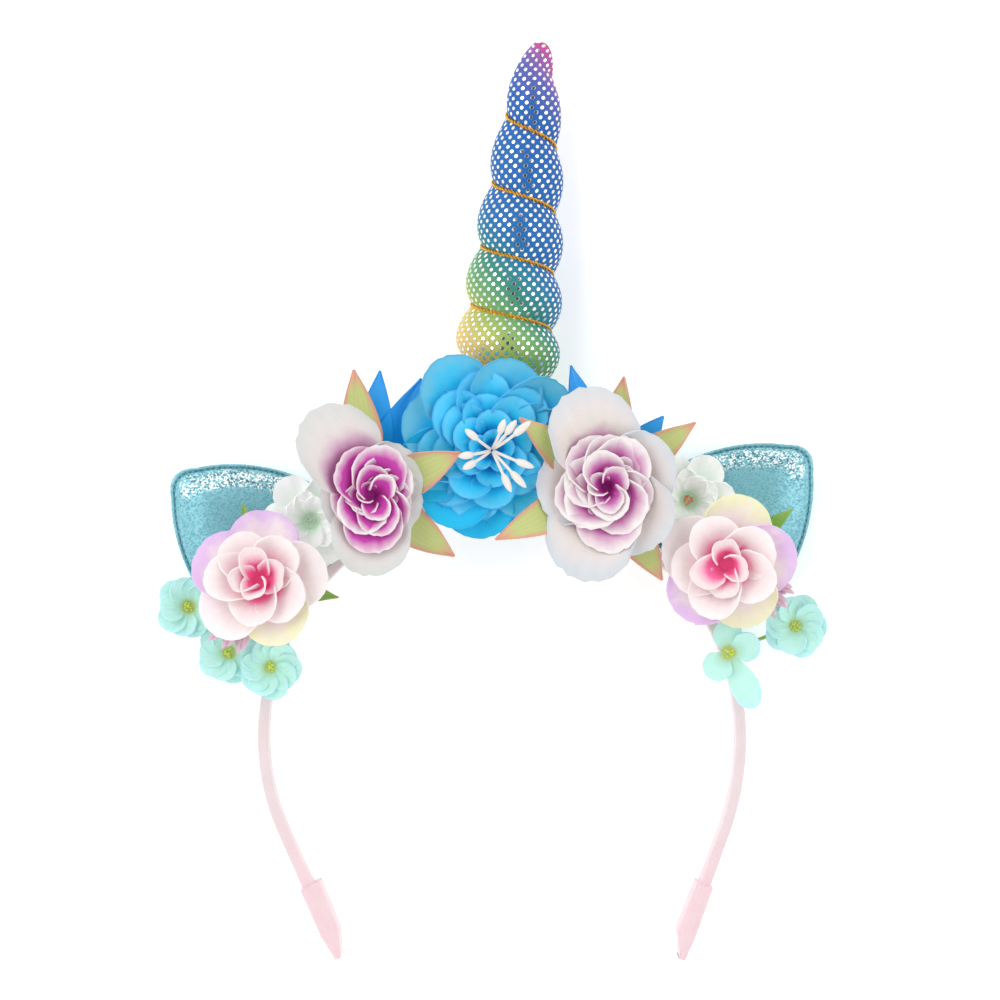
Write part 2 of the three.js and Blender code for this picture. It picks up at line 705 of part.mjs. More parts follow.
// Each mint spray is a flat stem on the band's front edge, with a floret on its hub and one on each arm's end
const stemTop = bandFront + gap + cloth;
const floretHeight = stemTop + gap + cloth / 2;
const armFloretRise = 0.1;
const hubFloretRise = 3;
const sprays = [
  { side: 'left', at: [-62.5, 19.6], arms: mintLeftArms },
  { side: 'right', at: [61.1, 23.5], arms: mintRightArms },
];
for (const { side, at, arms } of sprays) {
  const spray = flowerGroup([...at, bandFront + gap + cloth / 2]);
  addFan(spray, `mint_stem_${side}`, arms, {
    root: roots.mintStem, outline: budOutline, colour: 'green', height: 0,
  });
  arms.forEach((arm, i) => {
    const reach = roots.mintStem + arm.length * tipShare;
    const x = at[0] + reach * Math.cos(rad(arm.azimuth));
    const y = at[1] + reach * Math.sin(rad(arm.azimuth));
    addLayers(flowerGroup([x, y, floretHeight + armFloretRise]), `mint_floret_${side}_${i + 2}`, mintLayers, {
      colour: 'mint',
    });
  });
}
addLayers(
  flowerGroup([...sprays[0].at, floretHeight + hubFloretRise]),
  'mint_floret_left_1',
  mintLayers,
  { colour: 'mint', calyx: hubFloretRise },
);
const hangingRoot = mintLayers[0].root;
const hangingPetals = fanPetals(mintHangingPetals, hangingRoot, roundOutline);
const hanging = whorlGeometry(hangingPetals, hangingRoot, hubFloretRise);
const hangingGroup = flowerGroup([...sprays[1].at, floretHeight + hubFloretRise]);
addPiece(hangingGroup, 'mint_floret_right_1', hanging, 'mint');

// The origin is the middle of the bounding box, at the surface the tiara lies on
tiara.updateMatrixWorld(true);
const box = new THREE.Box3().setFromObject(tiara, true);
const middle = box.getCenter(new THREE.Vector3());
tiara.position.set(-middle.x, -middle.y, -box.min.z);

export default tiara;
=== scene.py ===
import math
from collections import namedtuple

import bpy
import numpy as np
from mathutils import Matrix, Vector


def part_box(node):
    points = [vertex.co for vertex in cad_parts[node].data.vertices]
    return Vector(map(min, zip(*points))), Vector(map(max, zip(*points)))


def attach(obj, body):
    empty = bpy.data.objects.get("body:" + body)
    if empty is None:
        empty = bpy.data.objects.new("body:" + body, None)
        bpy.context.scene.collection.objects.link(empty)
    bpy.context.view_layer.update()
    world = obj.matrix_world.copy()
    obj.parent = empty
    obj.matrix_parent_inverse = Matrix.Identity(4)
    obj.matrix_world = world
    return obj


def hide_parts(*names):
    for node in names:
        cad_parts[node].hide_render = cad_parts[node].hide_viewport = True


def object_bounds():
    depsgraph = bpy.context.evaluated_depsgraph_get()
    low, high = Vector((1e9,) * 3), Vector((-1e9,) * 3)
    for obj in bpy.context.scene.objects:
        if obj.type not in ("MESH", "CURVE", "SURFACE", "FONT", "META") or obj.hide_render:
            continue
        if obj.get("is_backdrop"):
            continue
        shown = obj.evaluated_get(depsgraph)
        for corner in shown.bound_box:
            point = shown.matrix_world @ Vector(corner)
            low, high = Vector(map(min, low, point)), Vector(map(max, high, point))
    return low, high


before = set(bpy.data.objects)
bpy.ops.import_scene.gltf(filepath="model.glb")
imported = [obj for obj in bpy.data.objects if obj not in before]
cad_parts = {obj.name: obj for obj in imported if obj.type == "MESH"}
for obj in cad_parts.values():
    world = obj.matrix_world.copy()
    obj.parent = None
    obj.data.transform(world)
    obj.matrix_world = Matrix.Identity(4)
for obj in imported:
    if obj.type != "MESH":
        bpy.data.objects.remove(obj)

bl_info = {
    "name": "Unicorn tiara",
    "version": (1, 0, 0),
    "blender": (4, 5, 0),
    "location": "View3D > Sidebar > Tiara",
    "description": "Dresses a headband with a stuffed horn, padded ears and cloth flowers",
    "category": "Object",
}

MM = 0.001
BODY = "root"
CAD_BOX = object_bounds()
FULL_TURN = 2 * math.pi
WHITE, BLACK = (1.0, 1.0, 1.0), (0.0, 0.0, 0.0)

# The arch's centre, worked out from the band, is where every size below is measured from
BAND_LOW, BAND_HIGH = (np.array(corner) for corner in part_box("band"))
BAND_RADIUS, BAND_THICKNESS, ARCH_FACETS = 64.95, 2.8, 25
BAND_OUTER = BAND_RADIUS + BAND_THICKNESS / 2
CROWN_SHARE = math.cos(math.pi / ARCH_FACETS / 2)
ARCH_CENTRE = np.array([
    (BAND_LOW[0] + BAND_HIGH[0]) / 2,
    BAND_HIGH[1] - BAND_OUTER * CROWN_SHARE * MM,
    0.0,
])
BAND_BACK = BAND_LOW[2] / MM
BAND_FRONT = BAND_HIGH[2] / MM
BAND_MIDDLE = (BAND_BACK + BAND_FRONT) / 2

# Petal layers, from the back of a flower to its front: millimetres and degrees
Layer = namedtuple("Layer", "petals root length width lift curl spin")
Blade = namedtuple("Blade", "azimuth length width lift curl")
# Stamens are blades too, and take their thickness from their threads
NO_WIDTH = 0

LAYER_STEP = 1.4
# The first layers of the roses and of the blue flower have petal lengths of their own further down
ROSE_LAYERS = (
    Layer(5, 5.0, 20, 21, 64, -58, 90),
    Layer(5, 3.8, 16.5, 16, 76, -54, 54),
    Layer(4, 2.6, 13, 12, 78, -42, 20),
    Layer(3, 1.3, 11, 8, 74, -20, 50),
)
PINK_LAYERS = (
    Layer(5, 4.6, 15.5, 17, 42, -42, 80),
    Layer(5, 3.4, 14, 14, 62, -44, 44),
    Layer(4, 2.0, 12, 9.5, 78, -30, 10),
)
WHITE_LAYERS = (
    Layer(6, 3.4, 10.5, 10, 28, -30, 0),
    Layer(5, 2.2, 8, 7, 56, -36, 30),
)
BLUE_LAYERS = (
    Layer(10, 7.2, 17.5, 14, 6, -8, 10),
    Layer(9, 6.0, 14.5, 13, 16, -18, 18),
    Layer(8, 4.8, 11, 11, 26, -28, 5),
    Layer(6, 3.4, 8, 9, 38, -40, 25),
    Layer(5, 2.0, 5, 5.5, 52, -40, 10),
)
MINT_LAYER = Layer(5, 1.6, 7.4, 8, 24, -20, 70)

ROSE_LEFT_LEAVES = (
    Blade(26.6, 23.8, 12, 39, -12),
    Blade(97, 28.3, 12, 10, -8),
    Blade(325, 22.8, 11, 12, -8),
)
ROSE_RIGHT_LEAVES = (
    Blade(36, 24, 10, 12, -8),
    Blade(81, 24.5, 10, 12, -8),
    Blade(142, 28, 11, 46, -32),
    Blade(205, 30, 11, 42, -38),
    Blade(301, 23.5, 11, 10, -8),
)
ROSE_LEFT_BLUES = (Blade(65, 29.7, 11, 5, -6), Blade(84, 28.6, 11, 5, -6))
ROSE_RIGHT_BLUES = (
    Blade(51, 19.5, 10, 5, -6),
    Blade(88, 20, 11, 5, -6),
    Blade(106, 29, 10, 5, -6),
)
PINK_LEFT_LEAVES = (Blade(350, 17, 6, 4, -4), Blade(106, 20, 7, 4, -4))
PINK_RIGHT_LEAVES = (
    Blade(39, 19, 6, 4, -4),
    Blade(178, 14, 6, 4, -4),
    Blade(245, 16, 7, 4, -4),
)


def size_prop(name, description, millimetres):
    """A size that the user can change, kept in metres"""
    return bpy.props.FloatProperty(
        name=name, description=description, default=millimetres * MM, unit="LENGTH",
    )


class TiaraSizes(bpy.types.PropertyGroup):
    """Sizes of the tiara's dressing, in metres"""

    petal_cloth: size_prop("Petal cloth", "Thickness of the petals' cloth", 0.4)
    dot_width: size_prop("Foil dot", "Diameter of the horn's foil dots", 1.02)
    dot_pitch: size_prop("Dot pitch", "Distance between dots in a row", 2.65)
    stitch_pitch: size_prop("Stitch pitch", "Distance between the ears' stitches", 1.6)


def display(red, green, blue):
    """Display values from 0 to 255 as linear light"""
    return tuple(((value / 255 + 0.055) / 1.055) ** 2.4 for value in (red, green, blue))


def colour_prop(name, *tone):
    """A colour that the user can change, given as display values from 0 to 255"""
    return bpy.props.FloatVectorProperty(
        name=name, description=f"Colour of the {name.lower()}", default=display(*tone), size=3,
        subtype="COLOR", min=0.0, max=1.0,
    )


class TiaraColours(bpy.types.PropertyGroup):
    """Main colours of the tiara's cloths"""

    ribbon: colour_prop("Ribbon", 225, 206, 209)
    ribbon_end: colour_prop("Ribbon ends", 233, 200, 207)
    gold: colour_prop("Gold cord", 252, 190, 74)
    ear_foil: colour_prop("Ear foil", 122, 200, 214)
    azure: colour_prop("Azure petals", 42, 196, 243)
    azure_deep: colour_prop("Azure folds", 22, 146, 217)
    sheer: colour_prop("Sheer petals", 88, 178, 206)
    royal: colour_prop("Royal blue petals", 18, 158, 240)
    magenta: colour_prop("Rose depths", 196, 70, 170)
    ivory: colour_prop("Rose edges", 225, 217, 215)
    blush: colour_prop("Blush petals", 238, 223, 223)
    hot_pink: colour_prop("Pink flower depths", 244, 120, 176)
    lilac: colour_prop("Lilac petal tips", 214, 166, 230)
    lime: colour_prop("Yellow-green petal tips", 228, 228, 168)
    leaf: colour_prop("Rose leaves", 194, 203, 132)
    leaf_edge: colour_prop("Leaf edges", 220, 152, 138)
    green: colour_prop("Green leaves and stems", 104, 164, 56)
    white: colour_prop("White petals", 236, 239, 236)
    throat: colour_prop("White blossom throats", 188, 216, 190)
    mint: colour_prop("Mint petals", 190, 237, 226)
    mint_tip: colour_prop("Mint petal tips", 188, 235, 240)


def sizes():
    return bpy.context.scene.tiara_sizes


def colours():
    return bpy.context.scene.tiara_colours


# Shader maths


class Value:
    """A node's output that takes part in Python arithmetic by adding Math nodes"""

    def __init__(self, finish, socket):
        self.finish = finish
        self.socket = socket

    def output(self, key):
        """Another output of the same node"""
        return Value(self.finish, self.socket.node.outputs[key])

    def maths(self, operation, *values):
        inputs = dict(enumerate(values))
        return self.finish.node("ShaderNodeMath", {"operation": operation}, inputs)

    def __add__(self, other):
        return self.maths("ADD", self, other)

    def __sub__(self, other):
        return self.maths("SUBTRACT", self, other)

    def __rsub__(self, other):
        return self.maths("SUBTRACT", other, self)

    def __mul__(self, other):
        return self.maths("MULTIPLY", self, other)

    def __truediv__(self, other):
        return self.maths("DIVIDE", self, other)

    def __abs__(self):
        return self.maths("ABSOLUTE", self)

    __radd__ = __add__
    __rmul__ = __mul__

    def fraction(self):
        return self.maths("FRACT", self)

    def root(self):
        return self.maths("SQRT", self)

    def least(self, other):
        return self.maths("MINIMUM", self, other)

    def most(self, other):
        return self.maths("MAXIMUM", self, other)

    def sine(self):
        return self.maths("SINE", self)

    def ease(self, low, high):
        """0 below low, 1 above high, and smooth between them"""
        settings = {"interpolation_type": "SMOOTHSTEP"}
        return self.finish.node("ShaderNodeMapRange", settings, {"Value": self, 1: low, 2: high})


class Finish:
    """A material whose nodes are added one method call at a time"""

    def __init__(self, name):
        self.material = bpy.data.materials.new(name)
        self.material.use_nodes = True
        self.tree = self.material.node_tree
        self.shader = self.tree.nodes["Principled BSDF"]

    def node(self, kind, settings=None, inputs=None, output=0):
        node = self.tree.nodes.new(kind)
        for name, value in (settings or {}).items():
            if name == "stops":
                self.set_stops(node.color_ramp, value)
            else:
                setattr(node, name, value)
        for key, value in (inputs or {}).items():
            self.feed(node.inputs[key], value)
        return Value(self, node.outputs[output])

    def feed(self, socket, value):
        if isinstance(value, Value):
            self.tree.links.new(value.socket, socket)
        elif socket.type == "RGBA" and len(value) == 3:
            socket.default_value = (*value, 1.0)
        else:
            socket.default_value = value

    @staticmethod
    def set_stops(ramp, stops):
        while len(ramp.elements) < len(stops):
            ramp.elements.new(1.0)
        for element, (place, colour) in zip(ramp.elements, stops):
            element.position = place
            element.color = (*colour, 1.0)

    def mix(self, share, first, second, blend="MIX"):
        settings = {"data_type": "RGBA", "blend_type": blend}
        return self.node("ShaderNodeMix", settings, {0: share, 6: first, 7: second}, 2)

    def ramp(self, share, stops):
        return self.node("ShaderNodeValToRGB", {"stops": stops}, {0: share})

    def shaded(self, colour, share, darkest):
        """The colour times a grey that goes from darkest up to white"""
        grey = self.ramp(share, ((0.2, (darkest,) * 3), (0.7, WHITE)))
        return self.mix(1.0, colour, grey, "MULTIPLY")

    def place(self):
        return self.node("ShaderNodeTexCoord", output=3)

    def along_across(self):
        """The piece's own map: from root to tip, and from edge to edge"""
        uv = self.node("ShaderNodeUVMap", {"uv_map": "petal"})
        split = self.node("ShaderNodeSeparateXYZ", None, {0: uv})
        return split, split.output(1)

    def attribute(self, name):
        return self.node("ShaderNodeAttribute", {"attribute_name": name}, output=2)

    def noise(self, where, size, detail=2.0):
        """Soft random patches of about this size in millimetres"""
        inputs = {"Vector": where, "Scale": 1 / (size * MM), "Detail": detail}
        return self.node("ShaderNodeTexNoise", None, inputs)

    def bump(self, height, strength, millimetres):
        inputs = {"Height": height, "Strength": strength, "Distance": millimetres * MM}
        self.set({"Normal": self.node("ShaderNodeBump", None, inputs)})

    def set(self, inputs):
        """Feeds the shader's own sockets, by their names"""
        for name, value in inputs.items():
            self.feed(self.shader.inputs[name], value)


class Sky(Finish):
    """The world's light, made with the same method calls"""

    def __init__(self, name):
        self.world = bpy.data.worlds.new(name)
        self.world.use_nodes = True
        self.tree = self.world.node_tree
        self.shader = self.tree.nodes["Background"]


# Meshes


def to_row(points):
    """Millimetres about the arch's centre to metres in the shared frame"""
    return np.asarray(points, float) * MM + ARCH_CENTRE


def enclosed_volume(mesh):
    """Signed volume inside a mesh: below zero where its faces point inwards"""
    mesh.calc_loop_triangles()
    corners = np.zeros(3 * len(mesh.loop_triangles), int)
    mesh.loop_triangles.foreach_get("vertices", corners)
    places = np.zeros(3 * len(mesh.vertices))
    mesh.vertices.foreach_get("co", places)
    first, second, third = places.reshape(-1, 3)[corners.reshape(-1, 3)].transpose(1, 0, 2)
    return float(np.sum(first * np.cross(second, third))) / 6


def linked(name, data):
    """A new object in the scene, at the origin and unturned"""
    piece = bpy.data.objects.new(name, data)
    bpy.context.scene.collection.objects.link(piece)
    return piece


def make_object(name, points, faces, finish, corner_map=None, point_map=None, tint=None, turn_angle=40):
    """A smooth-shaded mesh object at the origin, from millimetre points and faces"""
    mesh = bpy.data.meshes.new(name)
    mesh.from_pydata(to_row(points).tolist(), [], [list(face) for face in faces])
    if point_map is not None:
        corner = np.zeros(len(mesh.loops), int)
        mesh.loops.foreach_get("vertex_index", corner)
        corner_map = np.asarray(point_map)[corner]
    if corner_map is not None:
        layer = mesh.uv_layers.new(name="petal")
        layer.uv.foreach_set("vector", np.asarray(corner_map, np.float32).ravel())
    if tint is not None:
        attribute = mesh.attributes.new("tint", "FLOAT", "POINT")
        attribute.data.foreach_set("value", np.asarray(tint, np.float32))
    if enclosed_volume(mesh) < 0:
        mesh.flip_normals()
    mesh.shade_smooth()
    mesh.set_sharp_from_angle(angle=math.radians(turn_angle))
    mesh.materials.append(finish.material)
    mesh.validate()
    return linked(name, mesh)


def settle(piece, slot, *nodes):
    """The piece rides with the body and stands for its solids. The slot argument is not used"""
    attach(piece, BODY)
    if nodes:
        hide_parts(*nodes)
    return piece


def grid_faces(rows, columns, wrap=False, start=0):
    """Quads over a grid of points, row by row"""
    steps = columns if wrap else columns - 1
    row, column = np.meshgrid(np.arange(rows - 1), np.arange(steps), indexing="ij")
    after = (column + 1) % columns
    low, high = row * columns + start, (row + 1) * columns + start
    return np.stack([low + column, low + after, high + after, high + column], -1).reshape(-1, 4)


def capped_faces(rings, sides):
    """Quads round a stack of rings, with one face over each of its two ends"""
    first = np.arange(sides)
    last = first + (rings - 1) * sides
    return grid_faces(rings, sides, wrap=True).tolist() + [first[::-1].tolist(), last.tolist()]


def joined(shapes):
    """The points of several shapes, with their faces counted on from shape to shape"""
    points, faces, start = [], [], 0
    for shape_points, shape_faces in shapes:
        points.append(shape_points)
        faces.extend([start + corner for corner in face] for face in shape_faces)
        start += len(shape_points)
    return np.concatenate(points), faces


def bezier(controls, steps, whole=True):
    """Points along the smooth curve that control points pull into shape, with its last one if whole"""
    t = np.linspace(0, 1, steps, endpoint=whole)[:, None]
    curves = [np.asarray(control, float) + 0 * t for control in controls]
    while len(curves) > 1:
        curves = [(1 - t) * one + t * after for one, after in zip(curves, curves[1:])]
    return curves[0]


def polar(reach, azimuth, height):
    """Points round an upright axis"""
    places = np.broadcast_arrays(reach * np.cos(azimuth), reach * np.sin(azimuth), height)
    return np.stack(places, -1)


def smoothstep(value):
    value = np.clip(value, 0, 1)
    return value * value * (3 - 2 * value)


def turned(points, lean_x=0.0, lean_y=0.0):
    """Points turned about Y and then about X, in degrees"""
    cx, sx = math.cos(math.radians(lean_x)), math.sin(math.radians(lean_x))
    cy, sy = math.cos(math.radians(lean_y)), math.sin(math.radians(lean_y))
    about_x = np.array([[1, 0, 0], [0, cx, -sx], [0, sx, cx]])
    about_y = np.array([[cy, 0, sy], [0, 1, 0], [-sy, 0, cy]])
    return points @ (about_x @ about_y).T


def seated(points, at, height, lean):
    """Points of a flower lifted along its axis, leaned over and moved to its place"""
    return turned(points + np.array([0, 0, height]), *lean) + np.array(at)


# Petals

# How a petal is cut: its tip, how far it cups, twists, ruffles, frays and rolls back, and its widths
Cut = namedtuple("Cut", "pointed cup twist ruffle ragged roll root_share widen")
SPOON_CUT = Cut(False, 0.30, 0.12, 0.5, 0.02, 0.0, 0.45, 1.2)
SHEER_CUT = SPOON_CUT._replace(ruffle=0.6, widen=1.5)
SKIRT_CUT = Cut(False, 0.16, 0.14, 1.5, 0.035, 0.3, 0.45, 1.2)
ROSE_CUT = Cut(False, 0.22, 0.16, 0.9, 0.04, 0.35, 0.45, 1.25)
CORE_CUT = Cut(False, 0.26, 0.16, 0.45, 0.03, 0.25, 0.45, 1.25)
SOFT_CUT = Cut(False, 0.24, 0.14, 0.8, 0.02, 0.12, 0.45, 1.3)
WAVY_CUT = Cut(False, 0.16, 0.12, 0.9, 0.03, 0.1, 0.45, 1.15)
MINT_CUT = Cut(False, 0.2, 0.12, 0.45, 0.0, 0.08, 0.45, 1.15)
LEAF_CUT = Cut(True, 0.22, 0.0, 0.25, 0.0, 0.0, 0.45, 1.0)
PETAL_ROWS, PETAL_COLUMNS = 18, 17
WIDEST_ROUND, WIDEST_POINTED = 0.62, 0.4
POINT_POWER, POINT_LEFT = 1.5, 0.02
# Waves across a petal: two that nick its tip and two that ruffle its rim
NICK_WAVES, RUFFLE_WAVES, SMALL_RUFFLE, RUFFLE_POWER = (9, 14), (4.5, 7), 0.4, 3
ROLL_FROM, LEAST_REACH = 0.6, 0.5


def blade_arc(blade, root, along):
    """Slope, reach from the flower's axis and height, at a share of the way along a blade"""
    lift, curl = math.radians(blade.lift), math.radians(blade.curl)
    slope = lift + curl * along
    reach = root + blade.length * (np.sin(slope) - math.sin(lift)) / curl
    height = blade.length * (math.cos(lift) - np.cos(slope)) / curl
    return slope, reach, height


def petal_sheet(blade, root, cut, draw):
    """Middle surface of one petal: a grid of points, and its map from root to tip and edge to edge"""
    step = np.linspace(0, 1, PETAL_ROWS)[:, None] * np.ones(PETAL_COLUMNS)
    u = np.ones(PETAL_ROWS)[:, None] * np.linspace(-1, 1, PETAL_COLUMNS)
    phase = draw.uniform(0, FULL_TURN, 4)
    if cut.pointed:
        along = step
        late = np.clip((along - WIDEST_POINTED) / (1 - WIDEST_POINTED), 0, 1)
        early = cut.root_share + (1 - cut.root_share) * smoothstep(along / WIDEST_POINTED)
        share = np.where(along < WIDEST_POINTED, early, np.maximum(1 - late ** POINT_POWER, POINT_LEFT))
    else:
        tip = WIDEST_ROUND + (1 - WIDEST_ROUND) * np.sqrt(1 - u * u)
        nick = np.sin(NICK_WAVES[0] * u + phase[0]) * np.sin(NICK_WAVES[1] * u + phase[1])
        along = step * tip * (1 - cut.ragged * np.abs(nick) * step)
        share = cut.root_share + (1 - cut.root_share) * smoothstep(step)
    slope, reach, height = blade_arc(blade, root, along)
    half = blade.width / 2 * cut.widen * share
    wave = np.sin(RUFFLE_WAVES[0] * u + phase[2]) * np.abs(u)
    wave += SMALL_RUFFLE * np.sin(RUFFLE_WAVES[1] * u + phase[3])
    rise = step * half * (cut.cup * u * u + cut.twist * u)
    rise += cut.ruffle * wave * step ** RUFFLE_POWER
    rise -= cut.roll * blade.length * np.clip(step - ROLL_FROM, 0, 1) ** 2
    azimuth = math.radians(blade.azimuth) + half * u / np.maximum(reach, LEAST_REACH)
    points = polar(reach - rise * np.sin(slope), azimuth, height + rise * np.cos(slope))
    return points, np.stack([step, u * 0.5 + 0.5], -1)


def thicken(points, thickness):
    """Front and back points of a sheet, with the quads that close it"""
    along = np.gradient(points, axis=0)
    over = np.gradient(points, axis=1)
    normal = np.cross(along, over)
    normal /= np.maximum(np.linalg.norm(normal, axis=-1, keepdims=True), 1e-9)
    rows, columns = points.shape[:2]
    both = np.concatenate([
        (points + normal * thickness / 2).reshape(-1, 3),
        (points - normal * thickness / 2).reshape(-1, 3),
    ])
    count = rows * columns
    front = grid_faces(rows, columns)[:, ::-1]
    back = grid_faces(rows, columns, start=count)
    index = np.arange(count).reshape(rows, columns)
    ring = np.concatenate([index[0, :-1], index[:-1, -1], index[-1, :0:-1], index[:0:-1, 0]])
    after = np.roll(ring, -1)
    rim = np.stack([ring, after, after + count, ring + count], -1)
    return both, np.concatenate([front, back, rim]).tolist()


HUB_SIDES, HUB_OVERLAP = 24, 0.4


def hub_disc(radius, thickness):
    """A small closed disc that the petals of a layer are joined to"""
    angle = np.arange(HUB_SIDES) / HUB_SIDES * FULL_TURN
    rings = [polar(radius, angle, height) for height in (-thickness / 2, thickness / 2)]
    return np.concatenate(rings), capped_faces(2, HUB_SIDES)


# Petals of one layer differ a little, and a second ring stands steeper inside the first
AZIMUTH_PLAY, LENGTH_PLAY, LIFT_PLAY = 5.0, 0.05, 3.0
INNER_STEEPER, INNER_SHORTER, STEEPEST = 8.0, 0.08, 89.0


def ring_blades(layer, draw, size=1.0, squeeze=0.0, rings=1, lengths=None, play=1.0):
    """The petals of a full layer. Squeeze shortens those that point along X, unless lengths are given"""
    blades = []
    for ring in range(rings):
        for i in range(layer.petals):
            azimuth = layer.spin + 360 * (i + ring / 2) / layer.petals
            shorter = 1 - squeeze * math.cos(math.radians(azimuth)) ** 2
            length = lengths[i] if lengths else layer.length * size * shorter * (1 - INNER_SHORTER * ring)
            aside, longer, steeper = play * draw.uniform(-1, 1, 3)
            lift = layer.lift + LIFT_PLAY * steeper + INNER_STEEPER * ring
            blades.append(Blade(
                azimuth + AZIMUTH_PLAY * aside, length * (1 + LENGTH_PLAY * longer), layer.width * size,
                min(lift, STEEPEST), layer.curl,
            ))
    return blades


# A petal's tint says which of its finish's two tip colours it has, or neither
TINT_FIRST, TINT_PLAIN, TINT_SECOND = 0.1, 0.5, 0.9


def make_whorl(name, blades, root, cut, finish, at, draw, height=0.0, lean=(0.0, 0.0), petal_tints=None):
    """One layer of petals with its hub, as one object; a petal's tint chooses its shade"""
    thickness = sizes().petal_cloth / MM
    shapes = [hub_disc(root + HUB_OVERLAP, thickness)]
    maps = [np.full((2 * HUB_SIDES, 2), (0.0, 0.5))]
    tints = [np.full(2 * HUB_SIDES, TINT_PLAIN)]
    for blade, tint in zip(blades, petal_tints or draw.uniform(size=len(blades))):
        sheet, sheet_map = petal_sheet(blade, root, cut, draw)
        shapes.append(thicken(sheet, thickness))
        maps += [sheet_map.reshape(-1, 2)] * 2
        tints.append(np.full(2 * PETAL_ROWS * PETAL_COLUMNS, tint))
    points, faces = joined(shapes)
    return make_object(
        name, seated(points, at, height, lean), faces, finish,
        point_map=np.concatenate(maps), tint=np.concatenate(tints),
    )


# Geometry node trees


class Tree:
    """A geometry node tree whose nodes are added one method call at a time"""

    def __init__(self, name, **inputs):
        self.group = bpy.data.node_groups.new(name, "GeometryNodeTree")
        self.group.interface.new_socket("Geometry", in_out="INPUT", socket_type="NodeSocketGeometry")
        self.keys = {}
        for label, kind in inputs.items():
            socket = self.group.interface.new_socket(label, in_out="INPUT", socket_type="NodeSocket" + kind)
            self.keys[label] = socket.identifier
        self.group.interface.new_socket("Geometry", in_out="OUTPUT", socket_type="NodeSocketGeometry")
        self.start = self.group.nodes.new("NodeGroupInput").outputs

    def node(self, kind, settings=None, inputs=None, output=0):
        node = self.group.nodes.new(kind)
        for name, value in (settings or {}).items():
            setattr(node, name, value)
        for key, value in (inputs or {}).items():
            for one in value if isinstance(value, list) else [value]:
                if isinstance(one, bpy.types.NodeSocket):
                    self.group.links.new(one, node.inputs[key])
                else:
                    node.inputs[key].default_value = one
        return node.outputs[output]

    def close(self, geometry, finish):
        """Ends the tree in plain, smooth, finished geometry"""
        real = self.node("GeometryNodeRealizeInstances", None, {0: geometry})
        smooth = self.node("GeometryNodeSetShadeSmooth", None, {0: real})
        painted = self.node("GeometryNodeSetMaterial", None, {0: smooth, "Material": finish.material})
        self.group.links.new(painted, self.group.nodes.new("NodeGroupOutput").inputs[0])


def grow(name, source, tree, finish, **values):
    """Runs a tree on a source object and leaves its result as a plain mesh object"""
    modifier = source.modifiers.new("grow", "NODES")
    modifier.node_group = tree.group
    for label, value in values.items():
        modifier[tree.keys[label]] = value
    view = bpy.context.evaluated_depsgraph_get()
    mesh = bpy.data.meshes.new_from_object(source.evaluated_get(view))
    bpy.data.objects.remove(source)
    mesh.name = name
    mesh.materials.clear()
    mesh.materials.append(finish.material)
    return linked(name, mesh)


def path_object(name, *paths, cyclic=False):
    """A curve object with one straight-sided spline for each path of millimetre points"""
    curve = bpy.data.curves.new(name, "CURVE")
    curve.dimensions = "3D"
    for path in paths:
        spline = curve.splines.new("POLY")
        spline.points.add(len(path) - 1)
        spline.points.foreach_set("co", np.column_stack([to_row(path), np.ones(len(path))]).ravel())
        spline.use_cyclic_u = cyclic
    return linked(name, curve)


def dots_object(name, points):
    """A mesh of loose points, for a tree to set a shape on each"""
    mesh = bpy.data.meshes.new(name)
    mesh.from_pydata(to_row(points).tolist(), [], [])
    return linked(name, mesh)


def strip_tree(finish):
    """A flat strip with rounded edges along a path that lies level"""
    tree = Tree("ribbon_strip", Thickness="Float", Depth="Float", Rounding="Float")
    path = tree.node("GeometryNodeSetCurveNormal", {"mode": "Z_UP"}, {0: tree.start["Geometry"]})
    sizes_in = {"Width": tree.start["Thickness"], "Height": tree.start["Depth"]}
    outline = tree.node("GeometryNodeCurvePrimitiveQuadrilateral", None, sizes_in)
    rounding = {"Radius": tree.start["Rounding"], "Count": 4, "Limit Radius": True}
    section = tree.node("GeometryNodeFilletCurve", {"mode": "POLY"}, {0: outline, **rounding})
    strip = tree.node("GeometryNodeCurveToMesh", None, {0: path, 1: section, "Fill Caps": True})
    tree.close(strip, finish)
    return tree


def cord_tree(finish):
    """Two round strands twisted about a path"""
    tree = Tree("twisted_cord", Strand="Float", Lay="Float", Step="Float")
    strand = tree.start["Strand"]
    steps = {0: tree.start["Geometry"], "Length": tree.start["Step"]}
    path = tree.node("GeometryNodeResampleCurve", {"mode": "LENGTH"}, steps)
    length = tree.node("GeometryNodeSplineParameter", output=1)
    turns = tree.node("ShaderNodeMath", {"operation": "DIVIDE"}, {0: length, 1: tree.start["Lay"]})
    tilt = tree.node("ShaderNodeMath", {"operation": "MULTIPLY"}, {0: turns, 1: FULL_TURN})
    twisted = tree.node("GeometryNodeSetCurveTilt", None, {0: path, "Tilt": tilt})
    circle = tree.node("GeometryNodeCurvePrimitiveCircle", None, {"Resolution": 8, "Radius": strand})
    back = tree.node("ShaderNodeMath", {"operation": "MULTIPLY"}, {0: strand, 1: -1.0})
    strands = []
    for aside in (strand, back):
        offset = tree.node("ShaderNodeCombineXYZ", None, {0: aside})
        strands.append(tree.node("GeometryNodeTransform", None, {0: circle, "Translation": offset}))
    section = tree.node("GeometryNodeJoinGeometry", None, {0: strands})
    cord = tree.node("GeometryNodeCurveToMesh", None, {0: twisted, 1: section, "Fill Caps": True})
    tree.close(cord, finish)
    return tree


